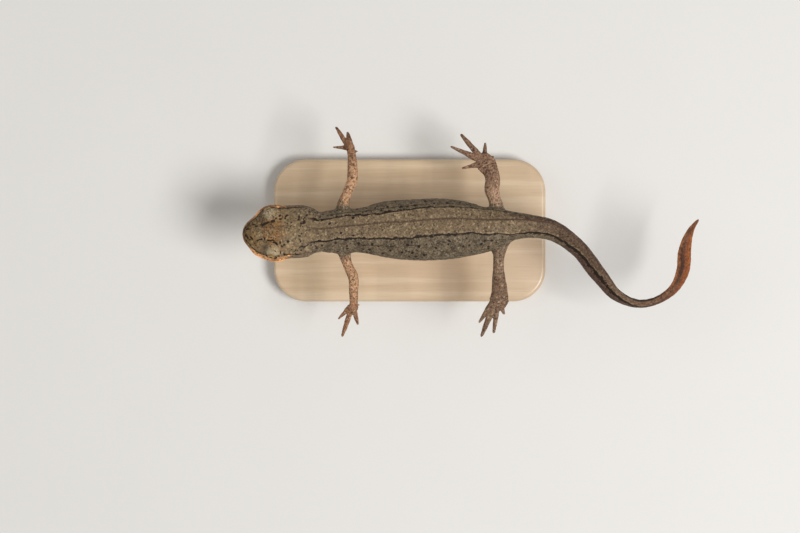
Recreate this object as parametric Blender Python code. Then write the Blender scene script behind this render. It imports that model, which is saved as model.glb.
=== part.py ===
"""A smooth newt at life size, afloat with its legs spread and its tail curled, on a plain display stand.

Metres, +Z up. The snout points along -X and the tail runs along +X, so the animal's right side is +Y.
The origin is the centre of the stand's underside. Tables are in millimetres.
"""

import math
from collections import namedtuple

import bmesh
import bpy
from mathutils import Vector

MM = 0.001
GAP = 0.3  # left between two pieces that touch
MERGE = 0.01  # closer points than this are one point

# The stand, in mm.
BASE_LENGTH = 42.0
BASE_WIDTH = 22.0
BASE_THICKNESS = 3.0
BASE_CORNER = 5.0
BASE_CHAMFER = 0.6
BELLY_CLEARANCE = 8.0
BELLY_DEPTH = 4.0
ROD_RADIUS = 0.8
COLLAR_RADIUS = 1.7
COLLAR_HEIGHT = 1.2
SADDLE_RADIUS = 1.3
SADDLE_HEIGHT = 1.6
SADDLE_FLARE = 0.4  # how far below the belly's lowest line the saddle is at full width
SADDLE_OVERLAP = 2.4  # how far above that line it goes before the belly is cut from it
COLLAR_LIP = 0.25
BELLY_RINGS = (-3.2, -2.2, -1.1, 0.0, 1.1, 2.2, 3.2)  # rings of the belly's cutter, along it from the rod
ROD_PLACES = {"front": (-6.6, -0.2), "rear": (9.0, 0.0)}
AXIS_HEIGHT = BASE_THICKNESS + BELLY_CLEARANCE + BELLY_DEPTH

# One cross-section of the body: where its axis is, how far it reaches to each side, up and down, how far
# it is rolled towards the right side, how much its edges are pinched into fins, and how square it is.
Station = namedtuple("Station", "name x y z half_width crown keel roll pinch square")
BODY = [
    Station("snout", -25.1, -0.80, -0.15, 1.70, 0.95, 0.95, 5, 0.0, 2.2),
    Station("nostrils", -24.0, -0.76, -0.10, 2.16, 1.20, 1.20, 5, 0.0, 2.3),
    Station("muzzle", -22.8, -0.78, -0.05, 3.18, 1.42, 1.45, 5, 0.0, 2.3),
    Station("eyes", -20.9, -0.64, 0.00, 4.05, 1.66, 1.70, 5, 0.0, 2.3),
    Station("cheeks", -18.6, -0.44, 0.00, 3.98, 1.78, 1.90, 5, 0.0, 2.3),
    Station("jaw_joint", -16.4, -0.36, 0.00, 3.96, 1.86, 2.05, 5, 0.0, 2.2),
    Station("nape", -15.0, -0.36, 0.00, 3.72, 1.90, 2.10, 5, 0.0, 2.2),
    Station("neck", -13.7, -0.42, 0.00, 3.02, 1.98, 2.10, 6, 0.0, 2.1),
    Station("collar", -12.2, -0.38, 0.00, 3.18, 2.12, 2.45, 7, 0.0, 2.1),
    Station("shoulders", -10.0, -0.26, 0.00, 3.20, 2.32, 2.80, 10, 0.0, 2.1),
    Station("armpits", -7.4, -0.18, 0.00, 3.38, 2.52, 3.05, 12, 0.0, 2.1),
    Station("ribs", -3.8, 0.00, 0.00, 4.26, 2.80, 3.55, 14, 0.0, 2.1),
    Station("waist", 0.0, -0.06, 0.00, 4.60, 3.00, 3.88, 16, 0.0, 2.1),
    Station("belly", 4.0, 0.02, 0.00, 4.73, 3.06, 3.95, 18, 0.0, 2.1),
    Station("flanks", 7.5, 0.04, 0.00, 4.40, 2.95, 3.66, 19, 0.0, 2.1),
    Station("loins", 10.5, -0.02, 0.00, 3.70, 2.72, 3.12, 20, 0.0, 2.1),
    Station("hips", 13.2, 0.30, 0.00, 2.84, 2.50, 2.72, 21, 0.0, 2.05),
    Station("vent", 15.2, 0.50, 0.00, 2.22, 2.34, 2.62, 22, 0.1, 2.0),
    Station("tail_root", 18.0, 0.42, -0.05, 1.74, 2.22, 2.15, 25, 0.2, 2.0),
    Station("tail_upper", 21.0, -0.08, -0.10, 1.50, 2.12, 2.05, 29, 0.3, 2.0),
    Station("tail_slope", 25.0, -2.70, -0.25, 1.08, 2.00, 1.95, 32, 0.4, 2.0),
    Station("tail_middle", 28.5, -7.05, -0.40, 0.92, 1.85, 1.80, 34, 0.45, 2.0),
    Station("tail_turn", 31.2, -10.05, -0.50, 0.76, 1.62, 1.58, 24, 0.5, 2.0),
    Station("tail_bottom", 34.6, -11.20, -0.55, 0.62, 1.42, 1.40, 8, 0.5, 2.0),
    Station("tail_rise", 37.6, -10.45, -0.50, 0.56, 1.30, 1.28, 22, 0.5, 2.0),
    Station("tail_corner", 39.8, -8.70, -0.40, 0.52, 1.22, 1.20, 42, 0.5, 2.0),
    Station("tail_blade", 41.0, -6.10, -0.25, 0.47, 1.18, 1.16, 66, 0.5, 2.0),
    Station("tail_lancet", 41.2, -3.45, -0.10, 0.41, 1.10, 1.10, 73, 0.5, 2.0),
    Station("tail_taper", 41.6, -1.50, 0.05, 0.34, 0.82, 0.82, 71, 0.4, 2.0),
    Station("tail_point", 42.3, 0.15, 0.15, 0.28, 0.50, 0.50, 68, 0.2, 2.0),
    Station("tail_end", 43.3, 1.50, 0.20, 0.20, 0.26, 0.26, 65, 0.0, 2.0),
]
SNOUT_ROUND = 1.6  # how far behind its tip the snout reaches full size
TAIL_ROUND = 0.5
CUTS = {"neck": (-14.4, -12.2), "torso": (-12.2, 15.6)}  # the x of each end, where the body runs along +X
TAIL_CUTS = ["tail_slope", "tail_turn", "tail_rise"]
HEAD_SIDES = 44
BODY_SIDES = 36
TAIL_SIDES = 24
EYE_RING_STEP = 0.34
HEAD_RING_STEP = 0.5
BODY_RING_STEP = 1.0
TAIL_RING_STEP = 0.95

# The eyes, in mm. Each lies in the round of its lids, and stands out from it the way it looks.
LIDS_BACK = 4.4  # behind the snout's tip
LIDS_OUT = 2.74  # from the axis of the head
LIDS_UP = 0.72
LID_RADIUS = 1.52
LID_BLEND = 0.30
LID_OPENING = (1.00, 0.86)  # half its length and half its height, between the lids
LID_FLARE = ((0.3, 0.75), (1.2, 1.0), (2.4, 1.5))  # how wide it is, of that, at each distance out
LID_RINGS = (1.7, 1.9)  # the head's rings lie closer from this far in front of the lids to this far behind
EYE_PROUD = 0.20
EYE_RADIUS = 1.04
SOCKET_GAP = 0.21
EYE_TILT = 16.0  # how far above level each eye looks, in degrees
EYE_FORWARD = 0.12  # how far forward, for each step sideways

# The mouth and nostrils, in mm.
MOUTH_REACH = 6.6  # behind the snout's tip
MOUTH_FRONT_Z = -0.26
MOUTH_CORNER_Z = -0.66
MOUTH_WIDTH = 0.34  # between the faces of its cutter, outside the lips
MOUTH_BOTTOM = 0.06  # between them at its deepest
MOUTH_DEPTH = 0.36
MOUTH_PIVOT = 3.0  # the line of the mouth is cut towards this far behind the snout's tip
MOUTH_STEPS = 36
MOUTH_OUTSIDE = 0.9  # how far outside the lips the cutter starts
MOUTH_CORNER_DEPTH = 0.25  # of the full depth, at the very corners
MOUTH_DEEPENS = 4.0  # how fast it deepens from the corners forward
LIP_SWELL = 0.16
LIP_SPREAD = 0.34
NOSTRIL_BACK = 0.62
NOSTRIL_ANGLE = 38.0  # round the snout from its top
NOSTRIL_RADIUS = 0.2

# A limb: stations along its axis, each with its place, half width across and half height, in mm.
Joint = namedtuple("Joint", "name x y z half_width half_height")
# A digit: where it leaves the hand or foot, the way it points (degrees from +X, seen from above),
# how far below level it points, its length and its half thickness.
Digit = namedtuple("Digit", "x y z heading droop length half_thickness")
LIMBS = {
    "arm_right": {
        "joints": [
            Joint("root", -10.10, 1.60, -0.70, 1.00, 1.00),
            Joint("shoulder", -10.05, 3.60, -0.65, 0.92, 0.92),
            Joint("mid_upper", -9.40, 5.55, -0.45, 0.70, 0.76),
            Joint("elbow", -8.70, 7.20, -0.35, 0.84, 0.80),
            Joint("mid_fore", -8.65, 9.30, -0.85, 0.76, 0.70),
            Joint("wrist", -8.76, 11.10, -1.45, 0.68, 0.62),
            Joint("palm", -9.00, 12.30, -1.85, 0.60, 0.78),
            Joint("palm_end", -9.36, 13.30, -2.15, 0.46, 0.55),
        ],
        "digits": [
            Digit(-9.60, 13.00, -2.00, 123, 14, 3.1, 0.38),
            Digit(-9.05, 12.90, -2.20, 102, 30, 2.3, 0.42),
            Digit(-9.10, 12.30, -2.10, 177, 20, 2.8, 0.36),
            Digit(-8.80, 11.70, -1.90, 8, 48, 1.6, 0.34),
        ],
    },
    "arm_left": {
        "joints": [
            Joint("root", -10.10, -1.90, -0.35, 1.00, 1.00),
            Joint("shoulder", -9.85, -3.75, -0.30, 0.84, 0.88),
            Joint("mid_upper", -9.26, -5.55, -0.20, 0.72, 0.76),
            Joint("elbow", -8.50, -7.35, -0.20, 0.80, 0.80),
            Joint("mid_fore", -8.48, -9.30, -0.75, 0.69, 0.68),
            Joint("wrist", -8.46, -10.95, -1.30, 0.66, 0.60),
            Joint("palm", -8.55, -11.85, -1.60, 0.68, 0.50),
            Joint("palm_end", -8.72, -12.50, -1.85, 0.50, 0.38),
        ],
        "digits": [
            Digit(-8.95, -11.60, -1.70, -134, 16, 2.9, 0.38),
            Digit(-8.85, -12.10, -1.75, -109, 10, 4.5, 0.40),
            Digit(-8.45, -12.05, -1.75, -75, 18, 2.6, 0.38),
            Digit(-8.20, -11.45, -1.65, 6, 48, 1.5, 0.32),
        ],
    },
    "leg_right": {
        "joints": [
            Joint("root", 13.10, 1.30, -1.05, 1.15, 1.10),
            Joint("hip", 13.05, 3.40, -0.95, 1.05, 1.05),
            Joint("thigh", 12.65, 4.65, -0.70, 0.95, 1.00),
            Joint("knee", 12.30, 6.10, -0.45, 1.18, 1.06),
            Joint("shank", 12.45, 7.20, -0.80, 1.12, 0.92),
            Joint("ankle", 12.23, 8.48, -1.35, 1.18, 0.74),
            Joint("sole", 11.50, 9.90, -1.80, 1.42, 0.50),
            Joint("sole_end", 10.90, 10.95, -2.05, 1.00, 0.38),
        ],
        "digits": [
            Digit(10.60, 9.85, -1.90, 193, 10, 2.95, 0.38),
            Digit(10.60, 10.45, -2.00, 155, 7, 5.10, 0.42),
            Digit(10.80, 10.80, -2.00, 131, 9, 4.90, 0.44),
            Digit(11.25, 10.80, -2.00, 86, 34, 3.10, 0.44),
            Digit(12.10, 10.50, -1.90, 48, 50, 1.80, 0.36),
        ],
    },
    "leg_left": {
        "joints": [
            Joint("root", 13.60, -0.60, -0.25, 1.50, 1.15),
            Joint("hip", 13.45, -2.85, -0.10, 1.10, 1.04),
            Joint("thigh", 13.30, -4.35, 0.00, 0.82, 0.94),
            Joint("knee", 13.26, -6.00, 0.05, 0.86, 0.92),
            Joint("shank", 13.34, -7.65, -0.45, 1.02, 0.86),
            Joint("ankle", 13.47, -9.30, -1.05, 1.22, 0.70),
            Joint("sole", 13.40, -10.65, -1.45, 1.36, 0.50),
            Joint("sole_end", 13.10, -11.80, -1.75, 0.98, 0.38),
        ],
        "digits": [
            Digit(12.40, -11.10, -1.65, -124, 10, 3.75, 0.40),
            Digit(12.55, -11.70, -1.75, -112, 7, 5.00, 0.44),
            Digit(13.10, -11.80, -1.75, -97, 9, 4.00, 0.42),
            Digit(13.70, -11.50, -1.70, -66, 45, 2.50, 0.40),
            Digit(14.15, -10.60, -1.60, -22, 48, 1.70, 0.36),
        ],
    },
}
LIMB_PARTS = {
    "arm": ("upper_arm", "forearm", "hand", "elbow", "wrist"),
    "leg": ("thigh", "shank", "foot", "knee", "ankle"),
}
LIMB_SIDES = 16
LIMB_RING_STEP = 0.5
DIGIT_SIDES = 8
DIGIT_RINGS = 6
DIGIT_SUNK = 0.45  # how far a digit's root goes back into the hand or foot
DIGIT_TIP = 0.35  # of its thickness at the root
DIGIT_CURL = 14.0  # how much further a digit droops by its tip, in degrees
DIGIT_FLATNESS = 0.85  # its height, of its width
HAND_END_SIZE = 0.55  # the last ring of a hand or foot, of the one before it
HAND_END_REACH = 0.6  # how far past that it lies, of its half height
TRUNK_RINGS = (-4.5, -3.0, -1.5, 0.0, 1.5, 2.4)  # rings of the trunk's cutter, along it from a limb's root


def clear_scene():
    """Removes every object of the scene."""
    for thing in list(bpy.data.objects):
        bpy.data.objects.remove(thing, do_unlink=True)


def material(name, colour, roughness, metallic=0.0):
    """A plain Principled material."""
    made = bpy.data.materials.new(name)
    made.use_nodes = True
    shader = made.node_tree.nodes["Principled BSDF"]
    shader.inputs["Base Color"].default_value = (*colour, 1.0)
    shader.inputs["Roughness"].default_value = roughness
    shader.inputs["Metallic"].default_value = metallic
    return made


class Curve:
    """A smooth curve through rows of numbers, measured by the distance along its first three columns."""

    def __init__(self, rows):
        self.rows = [[float(v) for v in row] for row in rows]
        self.knots = [0.0]
        for a, b in zip(self.rows, self.rows[1:]):
            self.knots.append(self.knots[-1] + (Vector(b[:3]) - Vector(a[:3])).length)
        self.length = self.knots[-1]
        self.slopes = [self.slope(i) for i in range(len(self.rows))]

    def slope(self, i):
        """The slope of each column at row i, as a parabola through it and its neighbours has."""
        last = len(self.rows) - 1
        steps = []
        for j in (i - 1, i):
            if 0 <= j < last:
                span = self.knots[j + 1] - self.knots[j]
                rise = [(b - a) / span for a, b in zip(self.rows[j], self.rows[j + 1])]
                steps.append((span, rise))
        if len(steps) == 1:
            return steps[0][1]
        (before, rise_before), (after, rise_after) = steps
        return [(p * after + q * before) / (before + after) for p, q in zip(rise_before, rise_after)]

    def at(self, s):
        """(values, slopes) of every column at distance s."""
        s = min(max(s, 0.0), self.length)
        i = max(j for j in range(len(self.knots) - 1) if self.knots[j] <= s or j == 0)
        span = self.knots[i + 1] - self.knots[i]
        t = (s - self.knots[i]) / span
        ease = (2 * t**3 - 3 * t**2 + 1, t**3 - 2 * t**2 + t, 3 * t**2 - 2 * t**3, t**3 - t**2)
        rate = (6 * t**2 - 6 * t, 3 * t**2 - 4 * t + 1, 6 * t - 6 * t**2, 3 * t**2 - 2 * t)
        values, slopes = [], []
        columns = zip(self.rows[i], self.slopes[i], self.rows[i + 1], self.slopes[i + 1])
        for p0, m0, p1, m1 in columns:
            parts = (p0, m0 * span, p1, m1 * span)
            values.append(sum(e * part for e, part in zip(ease, parts)))
            slopes.append(sum(r * part for r, part in zip(rate, parts)) / span)
        return values, slopes


BODY_CURVE = Curve([row[1:] for row in BODY])
BODY_PLACE = {row.name: knot for row, knot in zip(BODY, BODY_CURVE.knots)}


def body_distance(x):
    """The distance along the body's axis at which it reaches x, in front of the tail's curl."""
    low, high = 0.0, BODY_PLACE["tail_slope"]
    for _ in range(40):
        middle = (low + high) / 2
        if BODY_CURVE.at(middle)[0][0] < x:
            low = middle
        else:
            high = middle
    return low


def end_rounding(s):
    """How much of its full size the body has at distance s: less in the rounds of its two ends."""
    full = 1.0
    for reach, rounding in ((s, SNOUT_ROUND), (BODY_CURVE.length - s, TAIL_ROUND)):
        if reach < rounding:
            full *= math.sqrt(max(0.0, 1 - (1 - reach / rounding) ** 2))
    return full


def body_frame(s):
    """The axis point of the body at distance s, and its right, up and tailward directions."""
    values, slopes = BODY_CURVE.at(s)
    along = Vector(slopes[:3]).normalized()
    right = Vector((0, 0, 1)).cross(along).normalized()
    up = along.cross(right)
    roll = math.radians(values[6])
    return (
        Vector(values[:3]),
        right * math.cos(roll) - up * math.sin(roll),
        up * math.cos(roll) + right * math.sin(roll),
        along,
    )


def body_point(s, angle, swell=0.0):
    """The point of the body's surface at distance s, and at an angle to the right of the middle of its back."""
    values, _ = BODY_CURVE.at(s)
    half_width, crown, keel, _, pinch, square = values[3:9]
    centre, right, up, _ = body_frame(s)
    full = end_rounding(s)
    power = 2 / square
    across = math.copysign(abs(math.sin(angle)) ** power, math.sin(angle))
    rise = math.copysign(abs(math.cos(angle)) ** power, math.cos(angle))
    across *= (half_width * full + swell) * (1 - pinch * math.cos(angle) ** 2)
    rise *= (crown if rise > 0 else keel) * full + swell
    return centre + right * across + up * rise


def lids_centre(side):
    """The middle of the round of the lids on that side: 1 is the right, -1 the left."""
    centre, right, up, _ = body_frame(LIDS_BACK)
    return centre + right * (side * LIDS_OUT) + up * LIDS_UP


def eye_direction(side):
    """The way the eye on that side looks."""
    _, right, up, along = body_frame(LIDS_BACK)
    tilt = math.radians(EYE_TILT)
    return (right * (side * math.cos(tilt)) + up * math.sin(tilt) - along * EYE_FORWARD).normalized()


def eye_centre(side):
    """The centre of the eye on that side."""
    return lids_centre(side) + eye_direction(side) * EYE_PROUD


def mouth_height(s):
    """How high the line of the mouth is above the head's axis, at distance s from the snout's tip."""
    return MOUTH_FRONT_Z + (MOUTH_CORNER_Z - MOUTH_FRONT_Z) * (s / MOUTH_REACH) ** 2


def head_form(point, s):
    """Moves a point of the head, at distance s, out to the swell of the lips and the round of the lids."""
    centre, right, up, _ = body_frame(s)
    above = (point - centre).dot(up) - mouth_height(s)
    out = point - centre - up * (point - centre).dot(up)
    fade = max(0.0, min(1.0, (MOUTH_REACH + 0.5 - s) / 1.5))
    if out.length > LIP_SPREAD:
        point = point + out.normalized() * (LIP_SWELL * fade * math.exp(-((above / LIP_SPREAD) ** 2)))
    for side in (1, -1):
        centre = lids_centre(side)
        away = point - centre
        reach = away.length
        swell = 0.5 * (LID_RADIUS - reach + math.hypot(LID_RADIUS - reach, LID_BLEND))
        if reach < 2 * LID_RADIUS:
            fade = min(1.0, max(0.0, (2 * LID_RADIUS - reach) / LID_RADIUS))
            point = centre + away * ((reach + swell * fade) / reach)
    return point


def steps(start, end, step):
    """Distances from start to end, about a step apart."""
    count = max(1, round((end - start) / step))
    return [start + (end - start) * i / count for i in range(count + 1)]


def mesh_object(name, points, faces, finish=None):
    """An object from points in mm, measured from the body's axis height, and its faces."""
    mesh = bpy.data.meshes.new(name)
    lifted = [(p[0] * MM, p[1] * MM, (p[2] + AXIS_HEIGHT) * MM) for p in points]
    mesh.from_pydata(lifted, [], faces)
    mesh.validate()
    thing = bpy.data.objects.new(name, mesh)
    bpy.context.scene.collection.objects.link(thing)
    if finish:
        mesh.materials.append(finish)
    face_out(thing)
    return thing


def face_out(thing):
    """Makes the faces of a closed object point outwards."""
    work = bmesh.new()
    work.from_mesh(thing.data)
    bmesh.ops.recalc_face_normals(work, faces=work.faces)
    if work.calc_volume(signed=True) < 0:
        bmesh.ops.reverse_faces(work, faces=work.faces)
    work.to_mesh(thing.data)
    work.free()


def loft(name, rings, finish=None):
    """A closed object through rings of points. A ring of one point is a pole; any other end is capped."""
    points, starts = [], []
    for ring in rings:
        starts.append(len(points))
        points.extend(ring)
    faces = []
    for (first, a), (second, b) in zip(zip(rings, starts), zip(rings[1:], starts[1:])):
        sides = max(len(first), len(second))
        for k in range(sides):
            after = (k + 1) % sides
            if len(first) == 1:
                faces.append((a, b + k, b + after))
            elif len(second) == 1:
                faces.append((a + k, a + after, b))
            else:
                faces.append((a + k, a + after, b + after, b + k))
    for ring, start in ((rings[0], starts[0]), (rings[-1], starts[-1])):
        if len(ring) > 1:
            faces.append(tuple(range(start, start + len(ring))))
    return mesh_object(name, points, faces, finish)


def shade(thing):
    """Smooth shading, with sharp edges kept."""
    thing.data.shade_smooth()
    thing.data.set_sharp_from_angle(angle=math.radians(50))


def apply_modifiers(thing):
    """Replaces the object's mesh with what its modifiers make of it."""
    graph = bpy.context.evaluated_depsgraph_get()
    made = bpy.data.meshes.new_from_object(thing.evaluated_get(graph))
    thing.modifiers.clear()
    thing.data = made


def keep_largest(thing):
    """Deletes all but the largest closed surface of an object, and merges points that nearly meet."""
    work = bmesh.new()
    work.from_mesh(thing.data)
    bmesh.ops.remove_doubles(work, verts=work.verts, dist=MERGE * MM)
    bmesh.ops.triangulate(work, faces=[face for face in work.faces if len(face.verts) > 4])
    unseen = set(work.faces)
    shells = []
    while unseen:
        shell, edge = set(), [unseen.pop()]
        while edge:
            face = edge.pop()
            shell.add(face)
            near = {other for side in face.edges for other in side.link_faces} & unseen
            unseen -= near
            edge.extend(near)
        shells.append(shell)
    largest = max(shells, key=lambda shell: sum(face.calc_area() for face in shell))
    bmesh.ops.delete(work, geom=[face for face in work.faces if face not in largest], context="FACES")
    work.to_mesh(thing.data)
    work.free()


def combine(thing, others, operation):
    """Joins other closed objects to this one, or cuts them from it, and removes them."""
    group = bpy.data.collections.new(thing.name + "_tools")
    bpy.context.scene.collection.children.link(group)
    for other in others:
        bpy.context.scene.collection.objects.unlink(other)
        group.objects.link(other)
    change = thing.modifiers.new(operation.lower(), "BOOLEAN")
    change.operation = operation
    change.solver = "EXACT"
    change.operand_type = "COLLECTION"
    change.collection = group
    apply_modifiers(thing)
    for other in others:
        bpy.data.objects.remove(other, do_unlink=True)
    bpy.data.collections.remove(group)
    keep_largest(thing)


def body_stretch(name, distances, sides, finish=None, swell=0.0, change=None):
    """The body between the first and last distances, as one closed object."""
    rings = []
    for s in distances:
        if end_rounding(s) < 0.02:
            rings.append([body_frame(s)[0]])
            continue
        ring = [body_point(s, 2 * math.pi * k / sides, swell) for k in range(sides)]
        rings.append([change(point, s) for point in ring] if change else ring)
    return loft(name, rings, finish)


def ball(name, centre, radius, finish=None, segments=20, rings=12, pole=Vector((0, 0, 1))):
    """A round ball with its pole along the way given."""
    turn = Vector((0, 0, 1)).rotation_difference(pole)
    lines = [[centre + turn @ Vector((0, 0, radius))]]
    for i in range(1, rings):
        down = math.pi * i / rings
        line = []
        for k in range(segments):
            round_about = 2 * math.pi * k / segments
            flat = math.sin(down) * radius
            offset = (flat * math.cos(round_about), flat * math.sin(round_about), math.cos(down) * radius)
            line.append(centre + turn @ Vector(offset))
        lines.append(line)
    lines.append([centre - turn @ Vector((0, 0, radius))])
    return loft(name, lines, finish)


def lid_opening(side):
    """The opening between the lids, as a cutter that widens outwards from inside the eye."""
    _, _, _, along = body_frame(LIDS_BACK)
    centre, ahead = lids_centre(side), eye_direction(side)
    length_way = (along - ahead * along.dot(ahead)).normalized()
    height_way = ahead.cross(length_way)
    long, high = LID_OPENING
    rings = []
    for reach, spread in LID_FLARE:
        turns = [2 * math.pi * k / 24 for k in range(24)]
        middle = centre + ahead * reach
        rings.append([
            middle + length_way * (long * spread * math.cos(a)) + height_way * (high * spread * math.sin(a))
            for a in turns
        ])
    return loft("lid_opening", rings)


def mouth_point(t):
    """The lip at t, from the left corner of the mouth at -1, past the snout at 0, to the right corner at 1."""
    under = abs(MOUTH_FRONT_Z) / BODY[0].keel
    start = SNOUT_ROUND * (1 - math.sqrt(1 - under * under))
    s = start + (MOUTH_REACH - start) * t * t
    values, _ = BODY_CURVE.at(s)
    centre, right, up, _ = body_frame(s)
    full = end_rounding(s)
    depth = min(1.0, abs(mouth_height(s)) / (values[5] * full))
    out = values[3] * full * (1 - depth ** values[8]) ** (1 / values[8])
    return centre + right * math.copysign(out, t) + up * mouth_height(s), s


def mouth_line():
    """The line of the mouth, as a wedge that follows the lip and narrows inwards."""
    rings = []
    for i in range(MOUTH_STEPS + 1):
        t = -1 + 2 * i / MOUTH_STEPS
        here, s = mouth_point(t)
        out = here - body_frame(max(s, MOUTH_PIVOT))[0]
        out = Vector((out.x, out.y, 0)).normalized()
        depth = MOUTH_DEPTH * min(1.0, MOUTH_DEEPENS * (1 - abs(t)) + MOUTH_CORNER_DEPTH)
        deep = here - out * depth
        wide = here + out * MOUTH_OUTSIDE
        low, high = Vector((0, 0, -MOUTH_BOTTOM / 2)), Vector((0, 0, MOUTH_BOTTOM / 2))
        lower, upper = Vector((0, 0, -MOUTH_WIDTH / 2)), Vector((0, 0, MOUTH_WIDTH / 2))
        rings.append([deep + low, wide + lower, wide + upper, deep + high])
    return loft("mouth_line", rings)


def make_head(skin, eye_finish):
    """The head with its lids, the line of its mouth and its nostrils, and the two eyes."""
    end = body_distance(CUTS["neck"][0]) - GAP / 2
    rounds = [SNOUT_ROUND * (1 - math.cos(math.radians(angle))) for angle in (0, 14, 28, 42, 56, 70, 90)]
    eye_start, eye_end = LIDS_BACK - LID_RINGS[0], LIDS_BACK + LID_RINGS[1]
    places = rounds + steps(SNOUT_ROUND, eye_start, HEAD_RING_STEP)[1:]
    places += steps(eye_start, eye_end, EYE_RING_STEP)[1:] + steps(eye_end, end, HEAD_RING_STEP)[1:]
    head = body_stretch("head", places, HEAD_SIDES, skin, change=head_form)
    combine(head, [mouth_line()], "DIFFERENCE")
    for side in (1, -1):
        socket = ball("socket", eye_centre(side), EYE_RADIUS + SOCKET_GAP, pole=eye_direction(side))
        combine(head, [socket, lid_opening(side)], "DIFFERENCE")
        nostril = body_point(NOSTRIL_BACK, math.radians(side * NOSTRIL_ANGLE))
        combine(head, [ball("nostril", nostril, NOSTRIL_RADIUS, segments=8, rings=6)], "DIFFERENCE")
    shade(head)
    for side, name in ((1, "eye_right"), (-1, "eye_left")):
        shade(ball(name, eye_centre(side), EYE_RADIUS, eye_finish, pole=eye_direction(side)))


def make_body(skin):
    """The neck and the torso."""
    for name, (front, back) in CUTS.items():
        start = body_distance(front) + GAP / 2
        end = body_distance(back) - GAP / 2
        shade(body_stretch(name, steps(start, end, BODY_RING_STEP), BODY_SIDES, skin))


def make_tail(skin):
    """The tail, in four lengths from its root to its tip."""
    start = body_distance(CUTS["torso"][1]) + GAP / 2
    ends = [BODY_PLACE[name] for name in TAIL_CUTS] + [BODY_CURVE.length]
    for name, end in zip(("tail_root", "tail_middle", "tail_bend", "tail_tip"), ends):
        if end == BODY_CURVE.length:
            places = steps(start, end - TAIL_ROUND, TAIL_RING_STEP)
            places += [end - TAIL_ROUND * (1 - math.sin(math.radians(angle))) for angle in (30, 60, 90)]
        else:
            places = steps(start, end - GAP / 2, TAIL_RING_STEP)
        shade(body_stretch(name, places, TAIL_SIDES, skin))
        start = end + GAP / 2


def limb_ring(curve, s, shrink=1.0):
    """The ring of a limb's surface at distance s along its axis."""
    values, slopes = curve.at(s)
    along = Vector(slopes[:3]).normalized()
    across = along.cross(Vector((0, 0, 1))).normalized()
    up = across.cross(along)
    ring = []
    for k in range(LIMB_SIDES):
        angle = 2 * math.pi * k / LIMB_SIDES
        offset = across * (values[3] * math.cos(angle)) + up * (values[4] * math.sin(angle))
        ring.append(Vector(values[:3]) + offset * shrink)
    return ring


def make_digit(digit):
    """One finger or toe: a tapered, slightly drooping tube with a round tip."""
    heading = math.radians(digit.heading)
    level = Vector((math.cos(heading), math.sin(heading), 0))
    across = Vector((-level.y, level.x, 0))
    point = Vector((digit.x, digit.y, digit.z))
    rings = []
    stride = (digit.length + DIGIT_SUNK) / DIGIT_RINGS
    for i in range(DIGIT_RINGS + 1):
        share = i / DIGIT_RINGS
        droop = math.radians(digit.droop + DIGIT_CURL * (share - 0.5))
        way = level * math.cos(droop) - Vector((0, 0, math.sin(droop)))
        if i == 0:
            point = point - way * DIGIT_SUNK
        up = across.cross(way)
        if i == DIGIT_RINGS:
            rings.append([point])
            break
        thick = digit.half_thickness * (1 - (1 - DIGIT_TIP) * share**1.3)
        turns = [2 * math.pi * k / DIGIT_SIDES for k in range(DIGIT_SIDES)]
        high = thick * DIGIT_FLATNESS
        rings.append([point + across * (thick * math.cos(a)) - up * (high * math.sin(a)) for a in turns])
        point = point + way * stride
    return loft("digit", rings)


def make_limb(name, joints, digits, skin):
    """A limb in three nodes: two lengths parted at the middle joint, and the hand or foot with digits."""
    kind, side = name.split("_")
    upper, lower, end, middle_joint, end_joint = LIMB_PARTS[kind]
    curve = Curve([joint[1:] for joint in joints])
    place = {joint.name: knot for joint, knot in zip(joints, curve.knots)}
    first, second = place[middle_joint], place[end_joint]

    places = steps(0, first - GAP / 2, LIMB_RING_STEP)
    thick = loft(f"{upper}_{side}", [limb_ring(curve, s) for s in places], skin)
    hollow = [body_distance(joints[0].x + reach) for reach in TRUNK_RINGS]
    combine(thick, [body_stretch("trunk_cutter", hollow, BODY_SIDES, swell=GAP)], "DIFFERENCE")
    shade(thick)

    places = steps(first + GAP / 2, second - GAP / 2, LIMB_RING_STEP)
    shade(loft(f"{lower}_{side}", [limb_ring(curve, s) for s in places], skin))

    rings = [limb_ring(curve, s) for s in steps(second + GAP / 2, curve.length, LIMB_RING_STEP)]
    tip = curve.at(curve.length)
    rings.append([Vector(tip[0][:3]).lerp(point, HAND_END_SIZE) for point in rings[-1]])
    forward = Vector(tip[1][:3]).normalized() * (HAND_END_REACH * joints[-1].half_height)
    rings[-1] = [point + forward for point in rings[-1]]
    hand = loft(f"{end}_{side}", rings, skin)
    combine(hand, [make_digit(digit) for digit in digits], "UNION")
    shade(hand)


def rounded_outline(length, width, corner, z, inset=0.0):
    """A rectangle with round corners, as points in mm above the floor."""
    points = []
    for turn, (cx, cy) in enumerate(((1, 1), (-1, 1), (-1, -1), (1, -1))):
        middle = Vector((cx * (length / 2 - corner), cy * (width / 2 - corner), z - AXIS_HEIGHT))
        for k in range(7):
            angle = math.radians(90 * turn + 15 * k)
            reach = corner - inset
            points.append(middle + Vector((math.cos(angle), math.sin(angle), 0)) * reach)
    return points


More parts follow.
